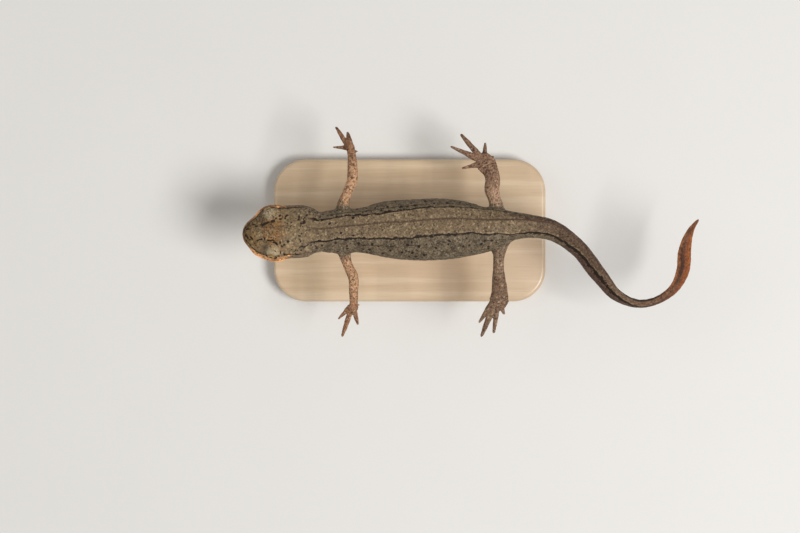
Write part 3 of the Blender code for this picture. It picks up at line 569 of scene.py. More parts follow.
class Noise:
    """Soft, seeded noise between -1 and 1, from random values on a grid."""

    def __init__(self, seed, size=24):
        self.grid = np.random.default_rng(seed).uniform(-1, 1, (size, size, size))
        self.size = size

    def at(self, points, grain):
        """The noise at each point, with features about a grain across."""
        scaled = points / grain
        low = np.floor(scaled).astype(int)
        t = scaled - low
        t = t * t * (3 - 2 * t)
        total = np.zeros(len(points))
        for corner in range(8):
            step = np.array([corner & 1, (corner >> 1) & 1, (corner >> 2) & 1])
            cell = (low + step) % self.size
            weight = np.prod(np.where(step, t, 1 - t), axis=1)
            total += weight * self.grid[cell[:, 0], cell[:, 1], cell[:, 2]]
        return total


def deselect():
    """Leaves nothing selected and no mode but the object mode."""
    if bpy.context.object and bpy.context.object.mode != "OBJECT":
        bpy.ops.object.mode_set(mode="OBJECT")
    bpy.ops.object.select_all(action="DESELECT")


def pick(thing):
    """Makes one object the only one selected, and active."""
    deselect()
    bpy.context.view_layer.objects.active = thing
    thing.select_set(True)


def apply_modifier(thing, name, kind, **settings):
    """Adds a modifier with these settings and applies it."""
    pick(thing)
    change = thing.modifiers.new(name, kind)
    for key, value in settings.items():
        setattr(change, key, value)
    bpy.ops.object.modifier_apply(modifier=change.name)


def coordinates(thing):
    """The places of an object's points."""
    mesh = thing.data
    found = np.empty(len(mesh.vertices) * 3, np.float32)
    mesh.vertices.foreach_get("co", found)
    return found.reshape(-1, 3).astype(float)


def normals(thing):
    """The normals at an object's points."""
    mesh = thing.data
    found = np.empty(len(mesh.vertices) * 3, np.float32)
    mesh.vertex_normals.foreach_get("vector", found)
    return found.reshape(-1, 3).astype(float)


def move_points(thing, points):
    """Puts an object's points at new places."""
    thing.data.vertices.foreach_set("co", points.astype(np.float32).ravel())
    thing.data.update()


def keep_attribute(thing, name, values):
    """Keeps one number for each point of an object, under a name that a material can read."""
    kept = thing.data.attributes.new(name, "FLOAT", "POINT")
    kept.data.foreach_set("value", np.asarray(values, np.float32))


def grid_object(name, rings, closed_ends):
    """A closed tube through rings of as many points each. Its ends are poles, or are capped."""
    count, sides = rings.shape[:2]
    points = rings.reshape(-1, 3)
    a = np.arange(count - 1)[:, None] * sides + np.arange(sides)[None, :]
    b = np.arange(count - 1)[:, None] * sides + (np.arange(sides)[None, :] + 1) % sides
    faces = np.stack([a, b, b + sides, a + sides], axis=-1).reshape(-1, 4).tolist()
    if closed_ends:
        faces.append(list(range(sides)))
        faces.append(list(range((count - 1) * sides, count * sides)))
    mesh = bpy.data.meshes.new(name)
    mesh.from_pydata(points.tolist(), [], faces)
    thing = bpy.data.objects.new(name, mesh)
    bpy.context.scene.collection.objects.link(thing)
    work = bmesh.new()
    work.from_mesh(mesh)
    bmesh.ops.remove_doubles(work, verts=work.verts, dist=1e-5)
    bmesh.ops.recalc_face_normals(work, faces=work.faces)
    if work.calc_volume(signed=True) < 0:
        bmesh.ops.reverse_faces(work, faces=work.faces)
    work.to_mesh(mesh)
    work.free()
    return thing


def settle(thing):
    """Turns millimetres from the body's axis into metres from the floor, and rides the piece on the part."""
    points = coordinates(thing)
    points[:, 2] += AXIS_HEIGHT
    move_points(thing, points * MM)
    thing.data.shade_smooth()
    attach(thing, "root")


def ring_angles(sides):
    """The angles of a ring's points."""
    return np.arange(sides) * (2 * math.pi / sides)


def body_tube(name, distances, sides, swell=0.0, form=None):
    """A stretch of the body as a closed object."""
    s = np.repeat(distances, sides)
    points = body_points(s, np.tile(ring_angles(sides), len(distances)), swell)
    if form:
        points = form(points, s)
    return grid_object(name, points.reshape(len(distances), sides, 3), swell > 0)


def limb_frames(curve, s):
    """The values of a limb's curve at each distance, and its ways across, up and along."""
    values, slopes = curve.at(s)
    along = unit(slopes[:, :3])
    across = unit(np.cross(along, (0.0, 0.0, 1.0)))
    return values, across, np.cross(across, along), along


def limb_tube(curve, sides=40, step=0.2):
    """A limb without its digits, round at its far end."""
    values, across, up, along = limb_frames(curve, np.linspace(0, curve.length, round(curve.length / step)))
    a = ring_angles(sides)
    ring = across[:, None] * np.cos(a)[None, :, None] * values[:, 3, None, None]
    ring = ring + up[:, None] * np.sin(a)[None, :, None] * values[:, 4, None, None]
    round_end = along[-1] * LIMB_END_ROUND * values[-1, 4]
    end = [
        values[-1, :3] + ring[-1] * math.sqrt(1 - share * share) + round_end * share
        for share in LIMB_END_RINGS
    ]
    return grid_object("limb", np.concatenate([values[:, None, :3] + ring, end]), True)


def digit_tube(digit, sunk, spare, sides=18, count=26):
    """One finger or toe, with its knuckles and round tip, its root sunk into the hand or foot."""
    x, y, z, heading, droop, length, thick = digit
    heading = math.radians(heading)
    level = np.array([math.cos(heading), math.sin(heading), 0.0])
    across = np.array([-level[1], level[0], 0.0])
    share = np.linspace(0, 1, count)
    slope = np.radians(droop + DIGIT_CURL * (share - 0.5))[:, None]
    way = level * np.cos(slope) - np.array([0.0, 0.0, 1.0]) * np.sin(slope)
    whole = length + sunk
    steps = np.cumsum(way[:-1] * whole / (count - 1), axis=0)
    axis = np.array([x, y, z]) - level * sunk + np.concatenate([np.zeros((1, 3)), steps])
    size = thick * spare * (1 - (1 - DIGIT_TIP) * share**DIGIT_TAPER)
    for knuckle in KNUCKLES:
        size = size * (1 + KNUCKLE_SWELL * bump(share, knuckle, KNUCKLE_WIDTH))
    tip = np.clip((1 - share) * whole / (TIP_ROUND * thick * DIGIT_TIP), 0, 1)
    size = np.maximum(size * np.sqrt(1 - (1 - tip) ** 2), 0.01)
    a = ring_angles(sides)[None, :, None]
    ring = across * np.cos(a) - np.cross(across, way)[:, None] * DIGIT_FLATNESS * np.sin(a)
    return grid_object("digit", axis[:, None] + ring * size[:, None, None], True)


def eye_cutters(side):
    """The round of the eye socket and the flared opening between the lids."""
    centre = lids_centre(side)
    ahead, length_way, height_way = eye_axes(side)
    deselect()
    bpy.ops.mesh.primitive_uv_sphere_add(
        segments=48, ring_count=24, radius=EYE_RADIUS + SOCKET_GAP, location=centre + ahead * EYE_PROUD
    )
    socket = bpy.context.object
    a = ring_angles(48)[:, None]
    outline = length_way * LID_OPENING[0] * np.cos(a) + height_way * LID_OPENING[1] * np.sin(a)
    rings = [centre + ahead * reach + outline * spread for reach, spread in LID_FLARE]
    return [socket, grid_object("lid_opening", np.array(rings), True)]


def join_all(things, name):
    """Joins objects into the first of them."""
    deselect()
    for thing in things:
        thing.select_set(True)
    bpy.context.view_layer.objects.active = things[0]
    bpy.ops.object.join()
    things[0].name = name
    return things[0]


def cut(thing, cutters):
    """Cuts closed objects from a closed object."""
    for cutter in cutters:
        apply_modifier(thing, "cut", "BOOLEAN", operation="DIFFERENCE", solver="MANIFOLD", object=cutter)
        bpy.data.objects.remove(cutter, do_unlink=True)


def nearest(points, samples, chunk=20000):
    """The index of the nearest sample to each point."""
    found = np.empty(len(points), int)
    square = (samples**2).sum(axis=1)
    for start in range(0, len(points), chunk):
        part = points[start:start + chunk]
        found[start:start + chunk] = np.argmin(square[None] - 2 * part @ samples.T, axis=1)
    return found


class Fields:
    """Where each point of the skin is on the newt: along and round its body, and on its limbs."""

    def __init__(self, points):
        self.points = points
        self.body_fields()
        self.limb_fields()
        on_trunk = (self.s > BODY_PLACE["nape"]) & (self.s < BODY_PLACE["tail_upper"])
        self.limb = smooth_step(self.off_body, 0.05, 0.75) * on_trunk

    def body_fields(self):
        """For each point: how far it is along the body, round it, above its axis and off its surface."""
        places = np.arange(0.0, BODY_CURVE.length, 0.3)
        values, _, _, along = body_frames(places)
        near = nearest(self.points, values[:, :3])
        offset = self.points - values[near, :3]
        self.s = np.clip(places[near] + dot(offset, along[near]), 0.0, BODY_CURVE.length)
        values, right, up, _ = body_frames(self.s)
        offset = self.points - values[:, :3]
        across, self.rise = dot(offset, right), dot(offset, up)
        self.radius = np.hypot(across, self.rise)
        self.above_mouth = self.rise - mouth_height(self.s)
        full = np.maximum(end_rounding(self.s), 0.05)
        half_width, crown, keel, _, pinch, square = values[:, 3:9].T
        u = across / (half_width * full)
        v = self.rise / (np.where(self.rise > 0, crown, keel) * full)
        u = u / (1 - pinch * (v / np.maximum(np.hypot(u, v), 1e-6)) ** 2)
        size = (np.abs(u) ** square + np.abs(v) ** square) ** (1 / square)
        self.off_body = (1 - 1 / np.maximum(size, 1e-3)) * self.radius
        sine, cosine = (np.sign(part) * np.abs(part) ** (square / 2) for part in (u, v))
        self.angle = np.degrees(np.arctan2(sine, cosine))
        self.down = np.abs(self.angle)

    def limb_fields(self):
        """For each point: how far it is off its quarter's limb, along and round it, and which one it is."""
        count = len(self.points)
        self.off_limb = np.full(count, 9.0)
        self.reach, self.limb_angle, self.which = np.zeros(count), np.zeros(count), np.zeros(count, int)
        for number, curve in enumerate(LIMB_CURVES.values()):
            root, tip = curve.rows[0], curve.rows[-1]
            mine = (np.abs(self.points[:, 0] - root[0]) < 7) & (self.points[:, 1] * (tip[1] - root[1]) > 0)
            mine &= self.s < BODY_PLACE["tail_root"] + 2
            places = np.linspace(0, curve.length, 90)
            values, across, up, _ = limb_frames(curve, places)
            near = nearest(self.points[mine], values[:, :3])
            offset = self.points[mine] - values[near, :3]
            x, y = dot(offset, across[near]), dot(offset, up[near])
            half_width, half_height = values[near, 3:5].T
            size = np.hypot(x / half_width, y / half_height)
            beyond = np.where(near == len(places) - 1, np.linalg.norm(offset, axis=1), 0.0)
            self.off_limb[mine] = (size - 1) * (half_width + half_height) / 2
            self.reach[mine] = places[near] + beyond
            self.limb_angle[mine] = np.degrees(np.arctan2(x, y))
            self.which[mine] = number

    def limb_share(self):
        """How far each point is along its limb: 0 at the root, 1 at the wrist or ankle, 2 at the tips."""
        found = np.zeros(len(self.points))
        for number, curve in enumerate(LIMB_CURVES.values()):
            share = np.interp(self.reach, (0, curve.knots[5], curve.knots[7] + 3.5), (0, 1, 2))
            found = np.where(self.which == number, share, found)
        return found

    def line_angle(self, line):
        """The angle of a line of the back, as far along the body as each point is."""
        distances, angles = np.transpose(line)
        return np.interp(self.s, distances, angles)

    def line_distance(self, line, side):
        """How far each point is from a line of the back, in mm, more towards the belly of that side."""
        return np.radians(self.angle * side - self.line_angle(line)) * self.radius

    def edge(self):
        """How far each point is outside the dark line of its side of the back, in mm."""
        on_right = self.angle > self.line_angle(SPINE_LINE)
        found = np.where(on_right, self.line_distance(RIGHT_LINE, 1), self.line_distance(LEFT_LINE, -1))
        return np.clip(found, *EDGE_REACH)

    def spine(self):
        """How far each point is from the line along the middle of the back, in mm."""
        return np.clip(np.abs(self.line_distance(SPINE_LINE, 1)), 0.0, 1.5)

    def core(self):
        """How far each point is round the body from the dark middle of the tail's end, in degrees."""
        return np.clip(np.abs(self.angle - self.line_angle(CORE_LINE)), 0.0, 90.0)

    def marks(self, facing_up):
        """How far each point is outside the nearest dark mark of the back, seen from above."""
        found = np.full(len(self.points), MARK_REACH)
        for x, y, step_x, step_y, half_width in MARKS:
            step = np.array([step_x, step_y])
            offset = self.points[:, :2] - (x, y)
            share = np.clip(offset @ step / step.dot(step), 0, 1)
            found = np.minimum(found, np.linalg.norm(offset - share[:, None] * step, axis=1) - half_width)
        return np.where(facing_up, found, MARK_REACH)

    def inset(self):
        """How far each point of the head is inside its outline, seen from above, in mm."""
        values, right, _, _ = body_frames(self.s)
        across = np.abs(dot(self.points - values[:, :3], right))
        outline = values[:, 3] * end_rounding(self.s) + LIP_SWELL
        return np.clip(outline - across, 0, 3)

    def lids(self):
        """How far each point is from the middle line of the nearer lids, in mm."""
        _, right, up, _ = one_frame(LIDS_BACK)
        found = np.full(len(self.points), 3.0)
        for side in (1, -1):
            lean = unit(up + right * side * LID_LEAN)
            offset = self.points - lids_centre(side)
            found = np.minimum(found, np.linalg.norm(offset - lean * dot(offset, lean)[:, None], axis=1))
        return found + 3 * smooth_step(self.s, 8.0, 9.0)

    def mouth(self):
        """How far each point is from the line between the lips, in mm."""
        found = np.full(len(self.points), 3.0)
        near = self.s < MOUTH_REACH + 3
        line = mouth_line()
        points = self.points[near]
        found[near] = np.linalg.norm(points - line[nearest(points, line)], axis=1)
        return found


def weigh(thing, name, weights):
    """A vertex group with a weight for each point, in steps of a twentieth."""
    group = thing.vertex_groups.new(name=name)
    levels = np.round(np.clip(weights, 0, 1) * 20).astype(int)
    for level in range(1, 21):
        members = np.nonzero(levels == level)[0]
        if len(members):
            group.add(members.tolist(), level / 20, "REPLACE")


def fill_creases(skin):
    """Rounds the corners where the limbs leave the body and the digits leave the hands."""
    fields = Fields(coordinates(skin))
    near = np.maximum(np.abs(fields.off_body), np.abs(fields.off_limb))
    fill = np.clip(1 - near / CREASE_REACH, 0, 1) ** 2 * CREASE_REACH / 4
    fill = fill * (fields.s > BODY_PLACE["collar"]) * (fields.s < BODY_PLACE["tail_root"])
    palm = between(fields.off_limb, -0.25, 0.0, 0.35, 0.85) * fields.limb
    for number, curve in enumerate(LIMB_CURVES.values()):
        palm[(fields.which == number) & (fields.reach < curve.knots[6] - 0.3)] = 0
    move_points(skin, fields.points + normals(skin) * (fill + PALM_WEB * palm)[:, None])
    weigh(skin, "crease", smooth_step(CREASE_REACH * 1.2 - near, 0, 0.6) * (fill > 0))
    weigh(skin, "palm", palm)
    for group, rounds in (("crease", 24), ("palm", 8)):
        apply_modifier(skin, "soften", "SMOOTH", factor=0.5, iterations=rounds, vertex_group=group)
    skin.vertex_groups.clear()


class Relief:
    """How far each point of the skin is raised or sunk, in mm, region by region."""

    def __init__(self, points, form):
        self.points = points
        self.form = form
        self.fields = Fields(points)
        self.body = 1 - self.fields.limb
        noise = Noise(NOISE_SEED)
        self.wander = noise.at(points, WANDER_GRAIN)
        self.fine = noise.at(points, FINE_GRAIN)

    def total(self):
        """All the regions together."""
        regions = (
            self.mouth, self.nostrils, self.head, self.folds, self.ribs, self.lines, self.tail, self.vent,
            self.limbs, self.unevenness,
        )
        return sum(region() for region in regions)

    def mouth(self):
        """The line between the lips, their rims and a fold behind the corner of the mouth."""
        away = self.fields.mouth()
        corner = bump(self.fields.s, MOUTH_REACH + 0.4, 0.22) * bump(self.fields.above_mouth, -0.05, 0.5)
        line = LIP_RIM * bump(away, 0.38, 0.15) - self.form.mouth_depth / MM * bump(away, 0, 0.15)
        return line - CORNER_FOLD * corner

    def nostrils(self):
        """Two pits, each in a low rim."""
        sides = np.radians([NOSTRIL_ANGLE, -NOSTRIL_ANGLE])
        places = body_points(np.full(2, NOSTRIL_BACK), sides)
        away = np.linalg.norm(self.points[:, None] - places, axis=2)
        return (NOSTRIL_RIM * bump(away, 0.24, 0.10) - NOSTRIL_PIT * bump(away, 0.0, 0.13)).sum(axis=1)

    def head(self):
        """A ridge from nostril to eye, dips on the snout and crown, the jaw's muscle and the lids' groove."""
        s, down = self.fields.s, self.fields.down
        ridge = bump(down, np.interp(s, (0.8, 4.4), (36, 44)), 9) * between(s, 0.8, 1.8, 3.0, 4.6)
        snout_dip = bump(down, 0, 16) * bump(s, 2.8, 1.1)
        crown_dip = bump(down, 0, 14) * bump(s, 4.6, 1.0)
        behind = smooth_step(s, LIDS_BACK - 0.6, LIDS_BACK + 0.6)
        groove = bump(self.fields.lids(), LID_RADIUS + 0.22, 0.18) * (0.3 + 0.7 * behind)
        top = EYE_RIDGE * ridge - SNOUT_DIP * snout_dip - CROWN_DIP * crown_dip - LID_GROOVE * groove
        jaw = JAW_SWELL * bump(down, 62, 20) * bump(s, 8.2, 1.3)
        jaw = jaw - JAW_GROOVE * bump(down, 30, 8) * bump(s, 8.2, 1.6)
        return top * smooth_step(self.fields.rise, 0.4, 1.2) + jaw

    def folds(self):
        """The fold across the throat, with its rim, and the finer ones of the neck."""
        s, down = self.fields.s, self.fields.down
        level = np.cos(np.radians(self.fields.angle))
        fold = s - THROAT_FOLD - 0.5 * level - 0.12 * self.wander
        throat = THROAT_RIM * bump(fold, -0.32, 0.22) - self.form.fold_depth / MM * bump(fold, 0, 0.13)
        relief = smooth_step(down, 70, 125) * throat
        for place in NECK_FOLDS:
            line = s - place - 0.25 * level - 0.2 * self.wander
            relief = relief - NECK_FOLD_DEPTH * smooth_step(down, 40, 80) * bump(line, 0, 0.13)
        return relief * self.body

    def ribs(self):
        """The grooves between the ribs, on the flanks."""
        s, down = self.fields.s, self.fields.down
        slant = s + 0.010 * (down - 80) + 0.16 * self.wander
        grooves = bump((slant / RIB_SPACING) % 1.0 - 0.5, 0, 0.13)
        where = between(s, 17.0, 18.5, 36.0, 38.0) * between(down, 42, 62, 120, 150) * self.body
        return -self.form.rib_depth / MM * where * grooves

    def lines(self):
        """A shallow groove along the middle of the back, and a ridge and groove along each dark line."""
        s, edge = self.fields.s, self.fields.edge()
        spine = SPINE_GROOVE * between(s, 9.5, 12.0, 46.0, 52.0) * bump(self.fields.spine(), 0, 0.22)
        ridge = LINE_RIDGE * bump(edge, -0.28, 0.20) - LINE_GROOVE * bump(edge, 0.02, 0.12)
        return (between(s, 9.5, 11.5, 60.0, 70.0) * ridge - spine) * self.body

    def tail(self):
        """The blocks of muscle in the tail, and the hollows that thin its fins."""
        s, down = self.fields.s, self.fields.down
        chevron = s + 0.02 * np.abs(down - 90) + 0.10 * self.wander
        blocks = bump(down, 90, 44) * bump((chevron / MUSCLE_SPACING) % 1.0 - 0.5, 0, 0.15)
        hollows = (bump(down, 26, 13) + bump(down, 154, 13)) * np.clip(self.fields.radius / 1.6, 0, 1)
        return -between(s, 42.0, 46.0, 76.0, 79.0) * (MUSCLE_GROOVE * blocks + FIN_HOLLOW * hollows)

    def vent(self):
        """A low swelling with a slit, behind the hind legs."""
        s, down = self.fields.s, self.fields.down
        across = np.radians(180 - down) * self.fields.radius
        swell = bump(s, VENT_PLACE, 0.95) * smooth_step(down, 120, 158)
        slit = bump(s, VENT_PLACE + 0.1, 0.7) * smooth_step(down, 150, 170) * bump(across, 0, 0.09)
        return VENT_SWELL * swell - VENT_SLIT * slit

    def limbs(self):
        """The creases at the joints, and folds where the limbs leave the body."""
        fields = self.fields
        inside = smooth_step(np.abs(fields.limb_angle), 40, 100)
        root = bump(fields.off_body, 0.45, 0.5) * smooth_step(fields.s, 12.5, 14.0)
        relief = ROOT_FOLDS * root * self.fine
        for number, curve in enumerate(LIMB_CURVES.values()):
            mine = fields.limb * (fields.which == number)
            for station, depth, inner in JOINT_CREASES:
                for step in CREASE_STEPS:
                    line = fields.reach - curve.knots[station] - step - 0.14 * self.wander
                    crease = depth * (1 - abs(step)) * bump(line, 0, 0.12)
                    relief = relief - crease * mine * (inside if inner else 1.0)
        return relief

    def unevenness(self):
        """Soft unevenness everywhere, least at the tip of the snout and on the tail."""
        s = self.fields.s
        broad, fine = UNEVENNESS
        share = (1 - 0.7 * smooth_step(s, 42, 62)) * smooth_step(s, 0.2, 1.2)
        return (broad * self.wander + fine * self.fine) * share


def mark_skin(skin):
    """Keeps what the skin's paint needs to know at each point."""
    fields = Fields(coordinates(skin))
    facing = normals(skin)[:, 2]
    kept = {
        "along": fields.s,
        "edge": fields.edge(),
        "spine": fields.spine(),
        "core": fields.core(),
        "down": fields.down,
        "side": np.sin(np.radians(fields.angle)),
        "limb": fields.limb,
        "reach": fields.limb_share(),
        "fore": fields.points[:, 0] < 0,
        "underside": smooth_step(-facing, 0.1, 0.7),
        "lids": np.clip(fields.lids(), 0, 3),
        "mouth": np.clip(fields.mouth(), 0, 2),
        "above": np.clip(fields.above_mouth, -1.5, 1.5),
        "marks": fields.marks(facing > -0.2),
        "inset": fields.inset(),
    }
    for name, values in kept.items():
        keep_attribute(skin, name, values)


def arithmetic(operation, swapped=False):
    """An operator of Value, which adds one Math node for it and a second value or number."""

    def made(first, second=0.0):
        pair = (second, first) if swapped else (first, second)
        return first.paint.node("ShaderNodeMath", {"operation": operation}, dict(enumerate(pair)))

    return made


class Value:
    """A number of a material: arithmetic on it adds the Math nodes that work it out."""

    def __init__(self, paint, socket):
        self.paint = paint
        self.socket = socket

    __add__, __radd__ = arithmetic("ADD"), arithmetic("ADD", swapped=True)
    __sub__, __rsub__ = arithmetic("SUBTRACT"), arithmetic("SUBTRACT", swapped=True)
    __mul__, __rmul__ = arithmetic("MULTIPLY"), arithmetic("MULTIPLY", swapped=True)
    __pow__, __abs__, most = arithmetic("POWER"), arithmetic("ABSOLUTE"), arithmetic("MAXIMUM")


class Paint:
    """A material with one Principled shader, and the nodes that lead to it."""

    def __init__(self, name):
        self.material = bpy.data.materials.new(name)
        self.material.use_nodes = True
        self.tree = self.material.node_tree
        self.shader = self.tree.nodes["Principled BSDF"]

    def node(self, kind, settings=None, inputs=None, output=0):
        """Adds a node, sets it up, fills or links its sockets, and returns one of its outputs."""
        made = self.tree.nodes.new(kind)
        for name, value in (settings or {}).items():
            setattr(made, name, value)
        for key, value in (inputs or {}).items():
            self.feed(made.inputs[key], value)
        return Value(self, made.outputs[output])

    def feed(self, socket, value):
        """Links a value to a socket, or sets the socket to a number or colour."""
        if isinstance(value, Value):
            self.tree.links.new(value.socket, socket)
        elif socket.type == "RGBA" and len(value) == 3:
            socket.default_value = (*value, 1.0)
        else:
            socket.default_value = value

    def place(self, stretch=(1.0, 1.0, 1.0)):
        """The place on the object in mm, stretched by these factors."""
        where = self.node("ShaderNodeTexCoord", output="Object")
        factors = tuple(factor / MM for factor in stretch)
        return self.node("ShaderNodeVectorMath", {"operation": "MULTIPLY"}, {0: where, 1: factors})

    def kept(self, name):
        """A number kept at the object's points."""
        return self.node("ShaderNodeAttribute", {"attribute_name": name}, output="Fac")

    def noise(self, where, scale, detail=2.0, rough=0.5, output=0):
        """Noise between 0 and 1, with features about 1 / scale mm across."""
        inputs = {"Vector": where, "Scale": scale, "Detail": detail, "Roughness": rough}
        return self.node("ShaderNodeTexNoise", inputs=inputs, output=output)

    def cells(self, where, scale, output=0):
        """The distance to the nearest of scattered places, or as output 1 a random number of that place."""
        return self.node("ShaderNodeTexVoronoi", inputs={"Vector": where, "Scale": scale}, output=output)

    def step(self, value, low, high):
        """0 below low and 1 above high, or the other way round where low is the higher."""
        inputs = {"Value": value, "From Min": low, "From Max": high}
        return self.node("ShaderNodeMapRange", {"interpolation_type": "SMOOTHSTEP"}, inputs)

    def mix(self, under, over, share):
        """The colour under with a share of the colour over."""
        inputs = {0: share, 6: under, 7: over}
        return self.node("ShaderNodeMix", {"data_type": "RGBA"}, inputs, output=2)

    def layers(self, under, *layers):
        """A colour below layers of others, each given with its share."""
        for over, share in layers:
            under = self.mix(under, over, share)
        return under

    def scaled(self, colour, factor):
        """The colour made lighter or darker."""
        return self.node("ShaderNodeVectorMath", {"operation": "SCALE"}, {0: colour, "Scale": factor})

    def bump(self, height, strength, distance_mm):
        """The surface's direction, tilted by a height."""
        inputs = {"Strength": strength, "Distance": distance_mm * MM, "Height": height}
        return self.node("ShaderNodeBump", inputs=inputs)

    def set(self, **sockets):
        """Sets or links the shader's own sockets, named with _ for a space."""
        for name, value in sockets.items():
            self.feed(self.shader.inputs[name.replace("_", " ")], value)


class SkinPaint(Paint):
    """The newt's markings, with some painted light and shade, all worked out from where each point is on its
    body.
    """

    def __init__(self, colours):
        super().__init__("newt_skin_paint")
        self.colours = colours
        self.along, self.edge, self.down, self.side = map(self.kept, ("along", "edge", "down", "side"))
        self.limb, self.reach, self.fore, self.under = map(self.kept, ("limb", "reach", "fore", "underside"))
        self.lids, self.mouth, self.above, self.inset = map(self.kept, ("lids", "mouth", "above", "inset"))

        self.where = self.place()
        self.broad = self.noise(self.where, 0.35, 3.0)
        self.mottle = self.noise(self.where, 1.0, 4.0, 0.65)
        self.fine = self.noise(self.where, 3.1, 3.0, 0.7)
        warp = self.noise(self.where, 3.4, 5.0, 0.64, output="Color")
        inputs = {0: warp, 1: (0.36, 0.36, 0.36), 2: self.where}
        self.warped = self.node("ShaderNodeVectorMath", {"operation": "MULTIPLY_ADD"}, inputs)
        self.granules = self.cells(self.warped, 6.4)
        self.grain = self.cells(self.warped, 6.4, output=1)
        self.coarse = self.cells(self.warped, 3.9, output=1)

        self.body = 1 - self.limb
        self.head = self.step(self.ragged(self.along, 5), *FADES["head"])
        self.tail = self.fade("tail")
        self.tail_end = self.fade("tail_end")
        self.right = self.step(self.side, -0.2, 0.2)
        self.pale = self.step(self.coarse, 0.72, 0.88) * (1 - self.tail * 0.8)
        tone = 0.28 + self.grain * 0.90 + (self.fine - 0.5) * 1.7 + self.coarse * 0.62
        # Painted light and shade: the head is made lighter on its left side, and the snout darker, most on
        # its right.
        shaded = self.fade("snout_shade") * (0.05 + self.right * 0.11)
        self.tone = tone + (1 - self.right) * self.head * 0.24 - shaded

    def fade(self, name):
        """How much there is of something that fades along the body."""
        return self.step(self.along, *FADES[name])

    def ragged(self, value, mottle=0.0, fine=0.0):
        """The value with noise added, up to half of these amounts each way."""
        if mottle:
            value = value + (self.mottle - 0.5) * mottle
        if fine:
            value = value + (self.fine - 0.5) * fine
        return value

    def back_tint(self):
        """Olive tan with brown mottling, greyer on the head, browner on the tail and darker on its right."""
        paints = self.colours
        grey = self.step(self.ragged(self.down, 30), 44.0, 68.0)
        dark_side = self.step(self.side + self.fade("tail_side_wide") * 0.95, 0.5, 0.85)
        dark_side = dark_side * self.fade("tail_side") * self.fade("tail_side_ends")
        return self.layers(
            paints.back,
            (paints.head, self.head),
            (paints.back_dark, self.step(self.mottle, 0.44, 0.66) * 0.55),
            (paints.head_dark, self.step(self.broad, 0.42, 0.62) * self.head * 0.5),
            (paints.slate, grey * self.head * 0.7),
            (paints.tail, self.tail),
            (self.scaled(paints.tail, 1.75), self.fade("tail_light")),
            (self.scaled(paints.tail_low, 0.85), dark_side * 0.9),
            (paints.fleck, self.pale * 0.34),
            (paints.back_dark, self.step(self.coarse, 0.28, 0.14) * 0.5),
        )

    def flank_tint(self):
        """Greyer and darker, with dark blotches and pale specks, and purple brown on the tail; painted light
        makes the right side lighter.
        """
        paints = self.colours
        # Painted light: the flanks are made lighter on the right side. They are lighter too at the front and
        # towards the tail.
        light = 1 + self.right * 0.14 + self.fade("fore_flank") * 0.12 + self.fade("rear_flank") * 0.20
        blotched = self.mix(paints.flank, paints.flank_dark, self.step(self.mottle, 0.44, 0.62) * 0.8)
        return self.layers(
            self.scaled(blotched, light),
            (paints.tail_low, self.fade("tail_flank")),
            (paints.flank_pale, self.pale * 0.40),
        )

    def trunk(self):
        """The back, the flanks, and a ragged change to cream below, orange along the belly and tail."""
        paints = self.colours
        hem = self.ragged(self.down, 46, 20)
        middle = self.step(self.down + (self.broad - 0.5) * 40, 128.0, 152.0)
        belly = self.layers(
            paints.cream, (paints.belly, middle * self.fade("belly")), (paints.belly, self.tail)
        )
        return self.layers(
            self.back_tint(),
            (self.flank_tint(), self.step(self.ragged(self.edge, fine=0.3), -0.06, 0.14) * (1 - self.head)),
            (belly, self.step(hem, 106.0, 126.0) * (1 - self.tail * 0.9)),
            (paints.orange, self.step(hem, 138.0, 160.0) * self.tail * 0.85),
        )

    def blade(self, skin):
        """The end of the tail: purple brown to orange brown, with orange fins and a dark core.

        The core leaves the edge of the back at the tail's lowest bend.
        """
        paints = self.colours
        low = self.step(self.ragged(self.down, 34), 66.0, 100.0)
        core = self.step(self.ragged(self.kept("core"), 20), 23.0, 8.0)
        fin_low = self.step(self.ragged(self.down, 14), 90.0, 130.0)
        fin_top = self.step(self.down, 62.0, 30.0)
        return self.layers(
            skin,
            (self.mix(paints.tail_low, paints.tip, low * 0.55 + 0.3), self.tail_end * 0.95),
            (paints.core, core * self.fade("core") * self.fade("core_ends") * 0.88),
            (paints.orange, (fin_low * 0.26 + fin_top * 0.42) * self.fade("fins")),
        )

    def limbs(self, skin):
        """Tan, redder or browner towards the digits, and grey where the limbs leave the body; painted light
        makes some limbs lighter than others, the right hind leg most.
        """
        paints, reach, fore, right = self.colours, self.reach, self.fore, self.right
        arm = self.mix(paints.arm, paints.hand, self.step(reach, 0.6, 1.3))
        leg = self.mix(paints.leg, paints.foot, self.step(reach, 0.3, 1.1))
        near = self.step(reach, 0.75, 0.45)
        # Painted light: each limb's tan is scaled as the light falls on it, the right hind leg lightest and
        # the left hind leg darkest away from the body.
        arm_painted_light = 1.12 + right * (near * 0.16 - 0.10)
        leg_painted_light = 0.74 + near * 0.32 + right * (0.36 - near * 0.03)
        light = arm_painted_light * fore + leg_painted_light * (1 - fore)
        root_end = 0.75 - fore * 0.35 + (1 - right) * (1 - fore) * 0.30
        root = self.step(self.ragged(reach, 0.4), root_end, 0.15) * (0.7 + fore * 0.15)
        specks = self.step(self.grain * 0.7 + self.coarse * 0.3, 0.44, 0.28)
        tint = self.layers(
            self.scaled(self.mix(leg, arm, fore), light),
            (paints.flank, root),
            (paints.limb_dark, specks * 0.66),
            (paints.limb_pale, self.step(self.coarse, 0.78, 0.92) * 0.38),
            (paints.cream, self.under * 0.5),
        )
        return self.mix(skin, tint, self.step(self.ragged(self.limb, 0.9), 0.35, 1.15))

